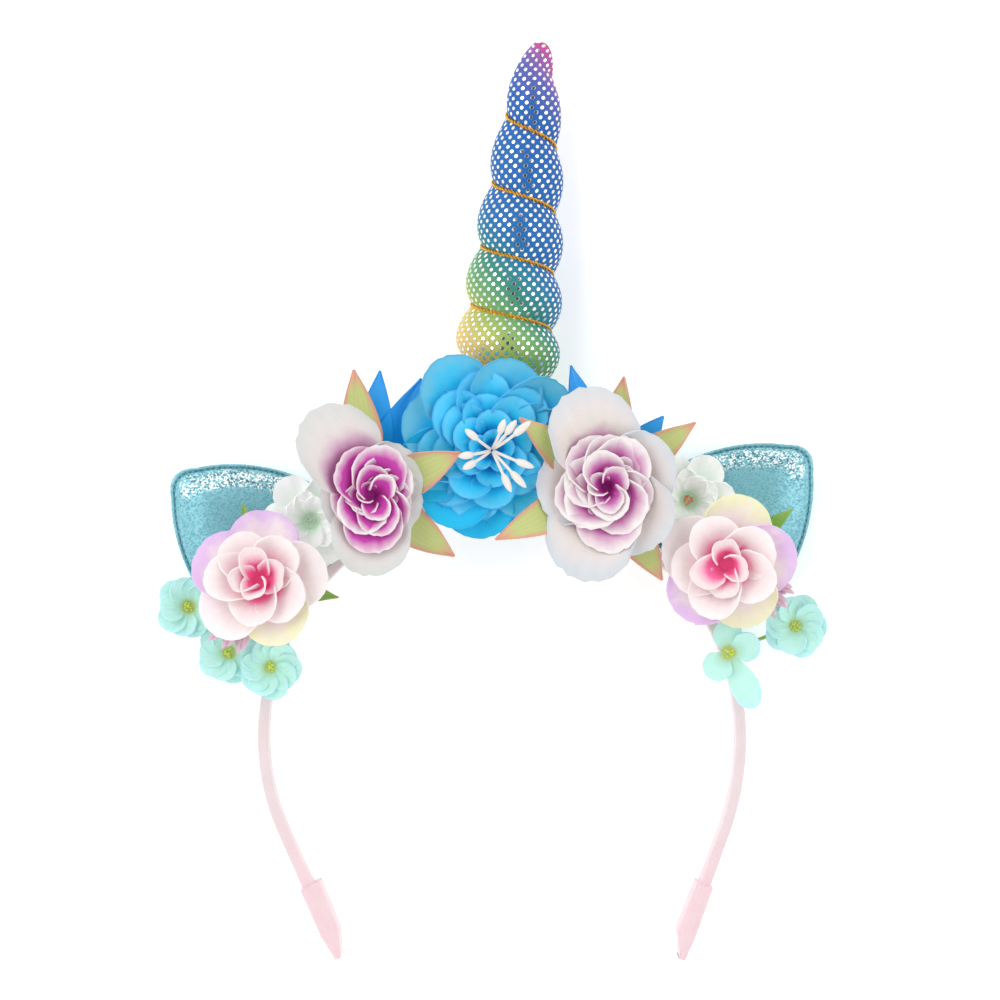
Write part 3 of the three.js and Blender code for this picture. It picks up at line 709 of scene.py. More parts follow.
def stitch_tree(finish):
    """A short thread at every step along a seam"""
    tree = Tree("seam_stitches", Pitch="Float", Length="Float", Thread="Float")
    steps = {0: tree.start["Geometry"], "Length": tree.start["Pitch"]}
    points = tree.node("GeometryNodeCurveToPoints", {"mode": "LENGTH"}, steps)
    turn = points.node.outputs["Rotation"]
    bead = tree.node("GeometryNodeMeshIcoSphere", None, {"Radius": 0.5, "Subdivisions": 2})
    thread = tree.start["Thread"]
    size = tree.node("ShaderNodeCombineXYZ", None, {0: thread, 1: thread, 2: tree.start["Length"]})
    inputs = {0: points, "Instance": bead, "Rotation": turn, "Scale": size}
    tree.close(tree.node("GeometryNodeInstanceOnPoints", None, inputs), finish)
    return tree


def pollen_tree(finish):
    """A small round grain on every point"""
    tree = Tree("pollen_grains", Grain="Float")
    shape = {"Radius": tree.start["Grain"], "Subdivisions": 2}
    grain = tree.node("GeometryNodeMeshIcoSphere", None, shape)
    inputs = {0: tree.start["Geometry"], "Instance": grain}
    tree.close(tree.node("GeometryNodeInstanceOnPoints", None, inputs), finish)
    return tree


# Finishes


def plain_mix(first, second, share):
    """A colour part of the way from one to another"""
    return tuple(a + (b - a) * share for a, b in zip(first, second))


def paler(colour, share):
    return plain_mix(colour, WHITE, share)


def darker(colour, share):
    return plain_mix(colour, BLACK, share)


# Sizes in millimetres, and waves across a petal, which are fewer at its tip
BLOTCH_SIZE, THREAD_SIZE = 5.0, 0.35
VEIN_WAVES, VEIN_WAVES_LOST = 60, 25
PETAL_SHINE = 0.15


def petal_finish(name, *stops, edge=None, tips=None, veins=0.04, roughness=0.75, painted_glow=0.05):
    """Dyed petal cloth: colours from root to tip, blotches, veins, and a painted glow in its own colour that
    stands in for light coming through it
    """
    finish = Finish(name)
    along, across = finish.along_across()
    place = finish.place()
    tint = finish.attribute("tint")
    cloud = finish.noise(place, BLOTCH_SIZE, 3.0)
    threads = finish.noise(place, THREAD_SIZE)
    vein = ((across - 0.5) * (VEIN_WAVES - VEIN_WAVES_LOST * along)).sine()
    colour = finish.ramp(along + (cloud - 0.5) * 0.22 + (tint - 0.5) * 0.1, stops)
    if tips:
        reach = (along + (cloud - 0.5) * 0.7).ease(0.5, 1.0) * 0.7
        colour = finish.mix(reach * (1 - tint.ease(0.2, 0.4)), colour, tips[0])
        colour = finish.mix(reach * tint.ease(0.6, 0.8), colour, tips[1])
    colour = finish.shaded(colour, vein * veins + threads * 0.6 + cloud * 0.3, 0.9)
    if edge:
        share, width, tone = edge
        rim = abs(across - 0.5).ease(0.5 - width, 0.5).most(along.ease(1 - width, 1.0))
        colour = finish.mix(rim * share, colour, tone)
    finish.bump(vein * veins * 2 + threads * 0.5, 0.3, 0.12)
    # Painted glow: the emission lifts the petals' shade as if light came through the thin cloth
    finish.set({
        "Base Color": colour, "Roughness": roughness + (threads - 0.5) * 0.2,
        "Emission Color": colour, "Emission Strength": painted_glow, "Specular IOR Level": PETAL_SHINE,
    })
    return finish


# The ribbon turns pinker this far above its lower end, and its ribs are drawn out across it
PINKER_BELOW, PINKER_FADE = 28.0, 12.0
RIB_SIZE, RIB_STRETCH, SATIN_PATCH = 0.4, (1.0, 1.0, 0.15), 6.0


def ribbon_finish():
    """Satin ribbon with fine ribs across it, pinker towards the ends"""
    tones = colours()
    finish = Finish("satin_ribbon")
    place = finish.place()
    height = finish.node("ShaderNodeSeparateXYZ", None, {0: place}).output(1)
    pinker_at = float(BAND_LOW[1]) + PINKER_BELOW * MM
    end = (pinker_at - height).ease(-PINKER_FADE * MM, PINKER_FADE * MM)
    ribs = finish.noise(finish.node("ShaderNodeMapping", None, {0: place, 3: RIB_STRETCH}), RIB_SIZE)
    cloud = finish.noise(place, SATIN_PATCH)
    colour = finish.mix(end, tones.ribbon, tones.ribbon_end)
    pale = (cloud * 0.5 + ribs * 0.5).ease(0.35, 0.65) * 0.25
    colour = finish.mix(pale, colour, paler(tones.ribbon, 0.5))
    finish.bump(ribs, 0.25, 0.1)
    finish.set({"Base Color": colour, "Roughness": 0.42 + ribs * 0.2, "Sheen Weight": 0.3})
    return finish


# Dyes of the horn's cloth, from the tip on its right side to the foot on its left side
HORN_RAINBOW = (
    (0.00, (216, 76, 158)),
    (0.04, (168, 98, 182)),
    (0.10, (96, 104, 190)),
    (0.18, (36, 104, 190)),
    (0.54, (32, 116, 188)),
    (0.61, (38, 136, 170)),
    (0.68, (56, 148, 126)),
    (0.75, (118, 184, 108)),
    (0.83, (174, 200, 94)),
    (0.92, (250, 211, 120)),
)
RAINBOW_SLANT, RAINBOW_LENGTH = 0.95, 101.0
# Foil dots with soft edges and thin dark rims, in millimetres
DOT_SOFTNESS, RIM_INSIDE, RIM_OUTSIDE, RIM_SHARE = 0.1, 0.12, 0.22, 0.45
DOT_TONE, RIM_TONE = (0.93, 0.94, 0.95), (0.03, 0.05, 0.08)
HORN_THREAD, HORN_PATCH, HORN_SHINE = 0.3, 14.0, 0.25


def horn_finish():
    """Rainbow cloth with a lattice of round mirror-foil dots"""
    finish = Finish("dotted_foil_cloth")
    around, fall = finish.along_across()
    pitch = sizes().dot_pitch / MM
    radius = sizes().dot_width / MM / 2
    distance = None
    for shift in (0.0, 0.5):
        aside = ((around / pitch + shift).fraction() - 0.5) * pitch
        down = ((fall / pitch + shift).fraction() - 0.5) * pitch
        this = (aside * aside + down * down).root()
        distance = this if distance is None else distance.least(this)
    dot = 1 - distance.ease(radius - DOT_SOFTNESS, radius + DOT_SOFTNESS)
    place = finish.place()
    threads = finish.noise(place, HORN_THREAD)
    cloud = finish.noise(place, HORN_PATCH)
    hue = finish.attribute("tint") + (cloud - 0.5) * 0.06
    cloth = finish.ramp(hue, tuple((where, display(*tone)) for where, tone in HORN_RAINBOW))
    cloth = finish.shaded(cloth, threads, 0.55)
    rim = distance.ease(radius - RIM_INSIDE, radius) * (1 - distance.ease(radius, radius + RIM_OUTSIDE))
    colour = finish.mix(dot, cloth, DOT_TONE)
    colour = finish.mix(rim * RIM_SHARE, colour, RIM_TONE)
    finish.bump(dot * 0.6 + threads * 0.25, 0.5, 0.12)
    finish.set({
        "Base Color": colour, "Metallic": 0.05 + dot * 0.9, "Roughness": 0.5 - dot * 0.4,
        "Specular IOR Level": HORN_SHINE,
    })
    return finish


GOLD_WRAP = 0.22


def gold_finish():
    """Metallic thread with painted shade in the gaps between its fine wraps and painted highlights on them
    """
    finish = Finish("gold_thread")
    fine = finish.noise(finish.place(), GOLD_WRAP)
    # Painted shade: dark brown in the gaps between the wraps
    colour = finish.mix(fine.ease(0.28, 0.5), display(120, 62, 8), colours().gold)
    # Painted highlights: pale gold where the wraps catch the light
    colour = finish.mix(fine.ease(0.58, 0.75), colour, display(255, 220, 120))
    finish.bump(fine, 0.8, 0.12)
    finish.set({"Base Color": colour, "Metallic": 0.85, "Roughness": 0.3 + (1 - fine) * 0.2})
    return finish


# How far out the seam runs that divides an ear's padding from its flat rim
EAR_SEAM_AT = 0.95
FLAKE_SIZE, FOIL_PATCH = 0.42, 7.0


def ear_finish():
    """Crackled teal foil of small tilted flakes, with painted highlights and painted dark reflections on
    them, strongest a little way under the ear's top edge
    """
    finish = Finish("crackled_foil")
    share, _ = finish.along_across()
    place = finish.place()
    # The tint attribute holds how strongly each point gets the painted highlights and painted dark
    # reflections
    painted_glint = finish.attribute("tint")
    cells = {"Vector": place, "Scale": 1 / (FLAKE_SIZE * MM)}
    tone = finish.node("ShaderNodeTexVoronoi", None, cells, "Color")
    flake = finish.node("ShaderNodeSeparateXYZ", None, {0: tone})
    cloud = finish.noise(place, FOIL_PATCH, 3.0)
    foil = colours().ear_foil
    colour = finish.mix(flake.ease(0.0, 1.0), darker(foil, 0.2), paler(foil, 0.14))
    # Painted dark reflections: the darkest flakes turn dark teal, a little over the whole ear and most in
    # the band under the top edge
    dark = (1 - flake).ease(0.72, 0.86) * (0.12 + painted_glint * 0.88)
    colour = finish.mix(dark, colour, display(52, 96, 106))
    # Painted highlights: the brightest flakes turn near-white in the band under the top edge
    painted_highlight = flake.ease(0.62, 0.72) * (painted_glint * (0.4 + cloud * 1.2)).ease(0.25, 0.6)
    colour = finish.mix(painted_highlight, colour, (0.95, 0.98, 0.98))
    # Painted shade: a darker teal line along the seam groove
    groove = 1 - abs(share - EAR_SEAM_AT).ease(0.005, 0.014)
    colour = finish.mix(groove * 0.6, colour, display(40, 104, 118))
    finish.bump(flake + cloud * 0.4, 0.45, 0.22)
    finish.set({"Base Color": colour, "Metallic": 0.25 + flake * 0.35, "Roughness": 0.5 - flake * 0.2})
    return finish


COAT_GRAIN = 0.3


def thread_finish(name, colour):
    """Plain dyed thread or dipped stamen with a fine uneven coat"""
    finish = Finish(name)
    grain = finish.noise(finish.place(), COAT_GRAIN, 3.0)
    finish.bump(grain, 0.3, 0.15)
    finish.set({
        "Base Color": finish.mix(grain.ease(0.3, 0.7) * 0.3, colour, paler(colour, 0.5)),
        "Roughness": 0.6 + (grain - 0.5) * 0.2,
    })
    return finish


# Camera, light and floor


class MakeStage(bpy.types.Operator):
    """Sets the floor, the soft light and the camera straight above the tiara"""

    bl_idname = "tiara.make_stage"
    bl_label = "Stage"

    VIEW_AT = (-0.55, 64.6)
    CAMERA_HEIGHT = 800.0
    FRAME_WIDTH = 275.0
    SENSOR = 36.0
    FLOOR_HALF, FLOOR_LEVEL, FLOOR_TONE, FLOOR_GLOW = 3.0, -0.25 * MM, (0.93, 0.93, 0.93), 0.3
    SKY_LOW, SKY_HIGH, SKY_RISE = 0.9, 1.3, (0.1, 0.8)
    GAP_SIDE, GAP_TOP, GAP_TONE = (0.25, 0.31), (0.7, 0.8), (0.02, 0.02, 0.02)
    LIGHTS = (
        ("key_light", (-0.55, 0.45, 0.75), 0.7, 2.6),
        ("fill_light", (0.6, 0.2, 0.7), 0.7, 1.0),
        ("foot_light", (0.0, -0.8, 0.6), 0.6, 0.6),
    )

    def execute(self, context):
        self.make_floor()
        self.make_lights(context)
        data = bpy.data.cameras.new("camera")
        data.sensor_width = self.SENSOR
        data.lens = self.SENSOR * self.CAMERA_HEIGHT / self.FRAME_WIDTH
        camera = linked("camera", data)
        camera.location = to_row([*self.VIEW_AT, self.CAMERA_HEIGHT])
        context.scene.camera = camera
        context.scene.view_settings.view_transform = "Standard"
        return {"FINISHED"}

    def make_floor(self):
        half, level = self.FLOOR_HALF, self.FLOOR_LEVEL
        corners = [(-half, -half, level), (half, -half, level), (half, half, level), (-half, half, level)]
        mesh = bpy.data.meshes.new("floor")
        mesh.from_pydata(corners, [], [(0, 1, 2, 3)])
        finish = Finish("white_floor")
        finish.set({
            "Base Color": self.FLOOR_TONE, "Roughness": 0.9, "Specular IOR Level": 0.0,
            "Emission Color": WHITE, "Emission Strength": self.FLOOR_GLOW,
        })
        mesh.materials.append(finish.material)
        floor = linked("floor", mesh)
        floor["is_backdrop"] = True

    def make_lights(self, context):
        context.scene.world = self.make_sky().world
        for name, place, size, power in self.LIGHTS:
            data = bpy.data.lights.new(name, "AREA")
            data.size = size
            data.energy = power
            light = linked(name, data)
            light.location = place
            light.rotation_euler = (-Vector(place)).to_track_quat("-Z", "Y").to_euler()

    def make_sky(self):
        """Two wide soft boxes with a dark gap between them straight overhead"""
        sky = Sky("studio")
        way = sky.node("ShaderNodeTexCoord")
        aside = sky.node("ShaderNodeSeparateXYZ", None, {0: way})
        up = aside.output(2)
        gap = (1 - abs(aside).ease(*self.GAP_SIDE)) * up.ease(*self.GAP_TOP)
        level = self.SKY_LOW + (self.SKY_HIGH - self.SKY_LOW) * up.ease(*self.SKY_RISE)
        sky.set({"Color": sky.mix(gap, WHITE, self.GAP_TONE), "Strength": level})
        return sky


# Band and ribbon ends


LEG_END = -57.0
Leg = namedtuple("Leg", "side mirror radius sweep places inner outer")
LEGS = (
    Leg("left", -1, 62.0, math.radians(24), (0, 0.66, 1), (3.7, 3.2, 0.6), (2.3, 2.3, 1.2)),
    Leg("right", 1, 75.0, math.radians(20), (0, 0.68, 1), (2.5, 3.0, -0.2), (2.3, 2.4, 1.9)),
)


def leg_length(leg):
    """Length of a leg from the arch to its end: a bend and a straight run"""
    return leg.radius * leg.sweep + (-LEG_END - leg.radius * math.sin(leg.sweep)) / math.cos(leg.sweep)


def leg_point(leg, drop):
    """Place and outward direction on a leg, a given length below the arch"""
    turn = min(drop / leg.radius, leg.sweep)
    straight = max(drop - leg.radius * leg.sweep, 0.0)
    x = BAND_RADIUS - leg.radius * (1 - math.cos(turn)) - straight * math.sin(turn)
    y = -leg.radius * math.sin(turn) - straight * math.cos(turn)
    return np.array([leg.mirror * x, y]), np.array([leg.mirror * math.cos(turn), -math.sin(turn)])


class MakeBand(bpy.types.Operator):
    """Wraps the bent strip in ribbon and folds the ribbon over its ends"""

    bl_idname = "tiara.make_band"
    bl_label = "Band"

    LEG_STEPS, ARCH_STEPS, EDGE_ROUNDING = 40, 120, 0.5
    END_LENGTH, END_COVER, END_WALL = 21.0, 18.0, 0.9
    END_SIDES, END_STEPS, SQUARE_ACROSS, SQUARE_UP = 64, 40, 0.35, 0.25
    FOLD_DEPTH, FOLDS = 0.16, 3

    def execute(self, context):
        finish = ribbon_finish()
        left, right = (self.leg_path(leg) for leg in LEGS)
        angles = np.linspace(0, math.pi, self.ARCH_STEPS)
        arch = [BAND_RADIUS * np.array([math.cos(angle), math.sin(angle)]) for angle in angles]
        path = [(*point, BAND_MIDDLE) for point in right[::-1] + arch + left]
        depth = BAND_FRONT - BAND_BACK
        band = grow(
            "ribbon_band", path_object("band_path", path), strip_tree(finish), finish,
            Thickness=BAND_THICKNESS * MM, Depth=depth * MM, Rounding=self.EDGE_ROUNDING * MM,
        )
        settle(band, "ribbon", "band")
        for leg in LEGS:
            end = self.make_end(leg, f"ribbon_end_{leg.side}", finish)
            settle(end, "ribbon", f"band_end_{leg.side}")
        return {"FINISHED"}

    def leg_path(self, leg):
        """Points down a leg, from just below the arch to its end"""
        steps = range(1, self.LEG_STEPS + 1)
        return [leg_point(leg, leg_length(leg) * i / self.LEG_STEPS)[0] for i in steps]

    def make_end(self, leg, name, finish):
        """The ribbon folded over a leg's end: flat-sided, creased lengthwise and cut on the slant"""
        angle = np.arange(self.END_SIDES) / self.END_SIDES * FULL_TURN
        flat = np.sign(np.cos(angle)) * np.abs(np.cos(angle)) ** self.SQUARE_ACROSS
        tall = np.sign(np.sin(angle)) * np.abs(np.sin(angle)) ** self.SQUARE_UP
        half_depth = BAND_FRONT - BAND_MIDDLE + self.END_WALL
        crease = self.FOLD_DEPTH * np.cos(self.FOLDS * math.pi * flat) * np.abs(np.sin(angle))
        rings = []
        for at in np.linspace(0, 1, self.END_STEPS):
            centre, out = leg_point(leg, leg_length(leg) - self.END_COVER + at * self.END_LENGTH)
            inner, outer = (np.interp(at, leg.places, widths) for widths in (leg.inner, leg.outer))
            aside = np.where(flat > 0, flat * outer, flat * inner)
            spot = centre + np.outer(aside, out)
            rings.append(np.column_stack([spot, BAND_MIDDLE + tall * (half_depth - crease)]))
        faces = capped_faces(self.END_STEPS, self.END_SIDES)
        return make_object(name, np.concatenate(rings), faces, finish, turn_angle=50)


# Horn and the cord wound round it


HORN_LENGTH, HORN_RADIUS, HORN_RADIUS_AT, HORN_TAPER = 122.0, 15.2, 100.0, 0.42
HORN_LEAN, HORN_BASE_X, HORN_DEPTH_RATIO = 0.101, -2.5, 0.88
HORN_GROOVE, HORN_BULGE_POWER, HORN_FATTEST_AT = 0.22, 0.7, 84.0
HORN_GATHER_FROM, HORN_GATHER_LENGTH, HORN_GATHER = 80.0, 38.0, 0.32
HORN_FIRST_PITCH, HORN_PITCH_LOSS = 20.2, 0.62
HORN_PUFF = 0.8
GAP = 0.3
HORN_BASE_Y = BAND_OUTER * CROWN_SHARE + GAP
FRONT_ANGLE = math.pi / 2


def horn_envelope(from_tip):
    swell = HORN_RADIUS * (np.asarray(from_tip, float) / HORN_RADIUS_AT) ** HORN_TAPER
    late = smoothstep((np.asarray(from_tip, float) - HORN_GATHER_FROM) / HORN_GATHER_LENGTH)
    return swell * (1 - HORN_GATHER * late)


def horn_turns(from_tip):
    inside = HORN_FIRST_PITCH ** 2 - 4 * HORN_PITCH_LOSS * np.asarray(from_tip, float)
    return (HORN_FIRST_PITCH - np.sqrt(inside)) / (2 * HORN_PITCH_LOSS)


def horn_from_tip(turns):
    return HORN_FIRST_PITCH * turns - HORN_PITCH_LOSS * turns ** 2


def horn_point(from_tip, angle, outset=0.0):
    """Points on the horn: the angle runs from the left side over the front to the right side"""
    phase = horn_turns(from_tip) - angle / FULL_TURN
    bulge = np.abs(np.sin(math.pi * phase)) ** HORN_BULGE_POWER
    puff = HORN_PUFF * bulge * smoothstep(0.5 + np.sin(angle))
    reach = horn_envelope(from_tip) * (1 - HORN_GROOVE * (1 - bulge)) + puff + outset
    y = HORN_BASE_Y + HORN_LENGTH - from_tip
    axis_x = HORN_BASE_X + HORN_LEAN * (y - HORN_BASE_Y)
    axis_z = HORN_DEPTH_RATIO * horn_envelope(HORN_FATTEST_AT)
    x = axis_x - reach * np.cos(angle)
    z = axis_z + HORN_DEPTH_RATIO * reach * np.sin(angle)
    return np.stack([x, y + 0 * x, z], -1)


class MakeHorn(bpy.types.Operator):
    """Stuffs the dotted horn, pulled in along its spiral groove"""

    bl_idname = "tiara.make_horn"
    bl_label = "Horn"

    ROWS, COLUMNS, TIP_CROWDING = 340, 144, 1.5

    def execute(self, context):
        step = np.arange(1, self.ROWS + 1) / self.ROWS
        from_tip = (HORN_LENGTH * step ** self.TIP_CROWDING)[:, None]
        turn = ((np.arange(self.COLUMNS + 1) / self.COLUMNS - 0.5) * FULL_TURN)[None, :]
        skin = horn_point(from_tip, turn[:, :-1] + FRONT_ANGLE)
        around = horn_envelope(from_tip) * turn
        chart = np.stack([around, from_tip + 0 * turn], -1)
        aside = horn_envelope(from_tip) * np.arcsin(np.sin(turn[:, :-1]))
        hue = (from_tip - aside * RAINBOW_SLANT) / RAINBOW_LENGTH
        points = np.concatenate([skin.reshape(-1, 3), horn_point(0.0, 0.0)[None]])
        faces, corners = self.skin_faces(chart)
        rim = (self.ROWS - 1) * self.COLUMNS + np.arange(self.COLUMNS)
        faces.append(rim[::-1].tolist())
        corners.extend(chart[-1, :-1][::-1].tolist())
        horn = make_object(
            "stuffed_horn", points, faces, horn_finish(), corner_map=corners,
            tint=[*hue.ravel(), 0.0], turn_angle=120,
        )
        settle(horn, "horn_foil", "horn")
        return {"FINISHED"}

    def skin_faces(self, chart):
        """Quads down the horn and triangles to its tip, with the cloth's own map at each corner"""
        faces, corners = [], []
        tip = self.ROWS * self.COLUMNS
        for i in range(self.COLUMNS):
            after = (i + 1) % self.COLUMNS
            faces.append([tip, i, after])
            corners.extend([(0.0, 0.0), chart[0, i], chart[0, i + 1]])
        for row in range(self.ROWS - 1):
            low, high = row * self.COLUMNS, (row + 1) * self.COLUMNS
            for i in range(self.COLUMNS):
                after = (i + 1) % self.COLUMNS
                faces.append([low + i, high + i, high + after, low + after])
                corners.extend([chart[row, i], chart[row + 1, i], chart[row + 1, i + 1], chart[row, i + 1]])
        return faces, corners


class MakeGoldCord(bpy.types.Operator):
    """Winds the gold cord into the horn's groove"""

    bl_idname = "tiara.make_gold_cord"
    bl_label = "Gold cord"

    FROM_TURN, TO_TURN, STEPS_PER_TURN = 0.62, 7.2, 60
    OUTSET, STRAND, LAY, STEP = 0.45, 0.3, 2.2, 0.25

    def execute(self, context):
        count = round((self.TO_TURN - self.FROM_TURN) * self.STEPS_PER_TURN)
        turns = np.linspace(self.FROM_TURN, self.TO_TURN, count)
        path = horn_point(horn_from_tip(turns), FULL_TURN * (turns % 1), self.OUTSET)
        finish = gold_finish()
        cord = grow(
            "gold_cord", path_object("cord_path", path), cord_tree(finish), finish,
            Strand=self.STRAND * MM, Lay=self.LAY * MM, Step=self.STEP * MM,
        )
        settle(cord, "gold_cord", "horn_cord")
        return {"FINISHED"}


# Ears


class MakeEars(bpy.types.Operator):
    """Pads the two foil ears and stitches round their edges"""

    bl_idname = "tiara.make_ears"
    bl_label = "Ears"

    BASE_RADIUS, BASE_HALF_ANGLE, TIP_RADIUS, CENTRE = 67.2, math.radians(17), 117.5, np.array([0.0, 88.0])
    HIP_OUT, HIP_UP, CHEEK_HALF, CHEEK_DROP, TIP_HALF, TIP_DROP = 9.0, 20.0, 14.0, 13.0, 5.5, 6.5
    BASE_STEPS, SIDE_STEPS, TIP_STEPS = 30, 50, 20
    CROWN, FLANGE, PAD_POWER, SEAM_DEPTH, SEAM_WIDTH = 4.1, 0.8, 5.0, 0.45, 0.012
    EDGE_FROM, EDGE_LOSS = 0.985, 0.6
    TURNS = (("left", 51.5), ("right", -47.0))
    RING_SHARES = (
        1.0, 0.994, 0.985, 0.97, 0.96, 0.95, 0.94, 0.93, 0.91,
        0.88, 0.84, 0.79, 0.72, 0.63, 0.52, 0.4, 0.27, 0.13,
    )
    PUCKERS, PUCKER_DEPTH, PUCKER_INSET, PUCKER_WIDTH = 46, 0.1, 0.05, 0.06
    PUCKER_SWAYS, PUCKER_SWAY = 5, 2
    # Where the ear's painted highlights go: how far out, how wide a band, and how far the edge must face up
    GLINT_AT, GLINT_WIDTH, GLINT_UP = 0.8, 0.12, (0.3, 0.8)
    STITCH_LENGTH, STITCH_THREAD = 1.1, 0.32

    def execute(self, context):
        finish = ear_finish()
        thread = thread_finish("ear_thread", display(150, 206, 214))
        for side, turn in self.TURNS:
            ear = self.make_pad(f"padded_ear_{side}", math.radians(turn), finish)
            settle(ear, "ear_foil", f"ear_{side}")
            settle(self.make_stitches(f"ear_stitches_{side}", math.radians(turn), thread), "ear_foil")
        return {"FINISHED"}

    def outline(self):
        """The ear's edge with its tip along Y: a base arc, two cheeks and a rounded tip"""
        half = self.BASE_HALF_ANGLE
        angle = np.linspace(-half, half, self.BASE_STEPS, endpoint=False)
        base = self.BASE_RADIUS * np.column_stack([np.sin(angle), np.cos(angle)])
        foot = self.BASE_RADIUS * np.array([math.sin(half), math.cos(half)])
        hip = foot + (self.HIP_OUT, self.HIP_UP)
        cheek = np.array([self.CHEEK_HALF, self.TIP_RADIUS - self.CHEEK_DROP])
        tip = np.array([self.TIP_HALF, self.TIP_RADIUS - self.TIP_DROP])
        side = bezier((foot, hip, cheek, tip), self.SIDE_STEPS, whole=False)
        top = bezier((tip, (0, self.TIP_RADIUS), tip * (-1, 1)), self.TIP_STEPS, whole=False)
        last_side = np.concatenate([side[1:], tip[None]])[::-1] * (-1, 1)
        return np.concatenate([base, side, top, last_side])

    def rise(self, share, arc):
        """Half thickness at a share of the way out, puckered where the seam draws the foil in"""
        inner = min(share / EAR_SEAM_AT, 1.0)
        pad = self.FLANGE + (self.CROWN - self.FLANGE) * (1 - inner ** self.PAD_POWER)
        rounding = self.EDGE_LOSS * self.FLANGE * max(share - self.EDGE_FROM, 0) / (1 - self.EDGE_FROM)
        seam = self.SEAM_DEPTH * math.exp(-((share - EAR_SEAM_AT) / self.SEAM_WIDTH) ** 2)
        drawn = math.exp(-((share - EAR_SEAM_AT + self.PUCKER_INSET) / self.PUCKER_WIDTH) ** 2)
        puckers = np.sin(self.PUCKERS * arc + self.PUCKER_SWAY * np.sin(self.PUCKER_SWAYS * arc))
        return pad - rounding - seam + self.PUCKER_DEPTH * drawn * puckers

    def painted_glint(self, share, turn):
        """How strongly each point of a ring gets painted highlights and painted dark reflections: most a
        little way in from the ear's top edge
        """
        outward = self.placed(self.outline() - self.CENTRE, 0.0, turn)[:, :2]
        up = outward[:, 1] / np.linalg.norm(outward, axis=1)
        low, high = self.GLINT_UP
        near = math.exp(-((share - self.GLINT_AT) / self.GLINT_WIDTH) ** 2)
        return smoothstep((up - low) / (high - low)) * near

    def placed(self, flat, height, turn):
        """Points of the upright ear turned to their place on the band"""
        x = flat[:, 0] * math.cos(turn) - flat[:, 1] * math.sin(turn)
        y = flat[:, 0] * math.sin(turn) + flat[:, 1] * math.cos(turn)
        return np.column_stack([x, y, np.full(len(flat), BAND_MIDDLE) + height])

    def ring(self, share):
        return self.CENTRE + (self.outline() - self.CENTRE) * share

    def make_pad(self, name, turn, finish):
        count = len(self.outline())
        arc = np.arange(count) / count * FULL_TURN
        shares = [(s, -1) for s in self.RING_SHARES[::-1]] + [(s, 1) for s in self.RING_SHARES]
        rings = [self.placed(self.ring(s), side * self.rise(s, arc), turn) for s, side in shares]
        # Each point's weight for the painted highlights goes into its tint attribute
        painted_glints = np.concatenate([self.painted_glint(s, turn) for s, _ in shares] + [np.zeros(2)])
        maps = [np.column_stack([np.full(count, s), arc / FULL_TURN]) for s, _ in shares]
        poles = [self.placed(self.CENTRE[None], side * self.CROWN, turn) for side in (-1, 1)]
        points = np.concatenate(rings + poles)
        faces = grid_faces(len(rings), count, wrap=True).tolist()
        top = (len(rings) - 1) * count
        back, front = len(points) - 2, len(points) - 1
        for i in range(count):
            after = (i + 1) % count
            faces.append([back, after, i])
            faces.append([front, top + i, top + after])
        edge_map = np.concatenate(maps + [np.zeros((2, 2))])
        return make_object(name, points, faces, finish, point_map=edge_map, tint=painted_glints, turn_angle=60)

    def make_stitches(self, name, turn, finish):
        seam = self.ring(EAR_SEAM_AT)[self.BASE_STEPS:]
        height = self.FLANGE - self.SEAM_DEPTH
        paths = [self.placed(seam, side * height, turn) for side in (-1, 1)]
        return grow(
            name, path_object("seam_path", *paths), stitch_tree(finish), finish, Pitch=sizes().stitch_pitch,
            Length=self.STITCH_LENGTH * MM, Thread=self.STITCH_THREAD * MM,
        )


# Flowers


# A tube's spokes are set square to a direction that its path doesn't run along
NOT_LEVEL, NOT_UPRIGHT, STEEP = np.array([0.31, 0.23, 0.92]), np.array([0.94, 0.33, 0.1]), 0.7


def tube(path, radii, sides):
    """A closed round tube along a path, with a radius at each point"""
    along = np.gradient(path, axis=0)
    along /= np.linalg.norm(along, axis=1, keepdims=True)
    out = np.cross(along, NOT_LEVEL if abs(along[:, 2]).mean() < STEEP else NOT_UPRIGHT)
    out /= np.linalg.norm(out, axis=1, keepdims=True)
    over = np.cross(along, out)
    angle = np.arange(sides) / sides * FULL_TURN
    spokes = np.cos(angle)[None, :, None] * out[:, None] + np.sin(angle)[None, :, None] * over[:, None]
    points = (path[:, None] + spokes * np.asarray(radii)[:, None, None]).reshape(-1, 3)
    return points, capped_faces(len(path), sides)


def make_tubes(name, tubes, finish):
    """Several tubes as one object"""
    points, faces = joined(tubes)
    return make_object(name, points, faces, finish, turn_angle=50)


# A stamen starts inside its hub, swells into a bud further out, and ends in a fine point
STAMEN_STEPS, STAMEN_SIDES, INSIDE_HUB = 24, 8, 0.6
BUD_FROM, BUD_TIP, BUD_FULLNESS = 0.62, 0.05, 0.55


def make_stamens(name, blades, root, finish, at, height, lean, thread, bud):
    """Dipped threads with swollen ends"""
    tubes = []
    along = np.linspace(0, 1, STAMEN_STEPS)
    swell = np.clip((along - BUD_FROM) / (1 - BUD_FROM), 0, 1)
    fullness = np.clip(np.sin(math.pi * swell), 0, 1) ** BUD_FULLNESS
    radii = thread * (1 - swell) + (bud - thread / 2) * fullness
    radii[-1] = BUD_TIP
    inside = INSIDE_HUB * root
    for blade in blades:
        longer = blade._replace(length=blade.length + inside)
        _, reach, rise = blade_arc(longer, root - inside, along)
        path = polar(reach, math.radians(blade.azimuth), rise)
        tubes.append(tube(seated(path, at, height, lean), radii, STAMEN_SIDES))
    return make_tubes(name, tubes, finish)


STEM_STEPS, STEM_SIDES, STEM_CLEAR, STEM_BEND = 20, 16, 0.1, 0.45
WRAP_DEPTH, WRAP_TURN = 0.04, 2.1


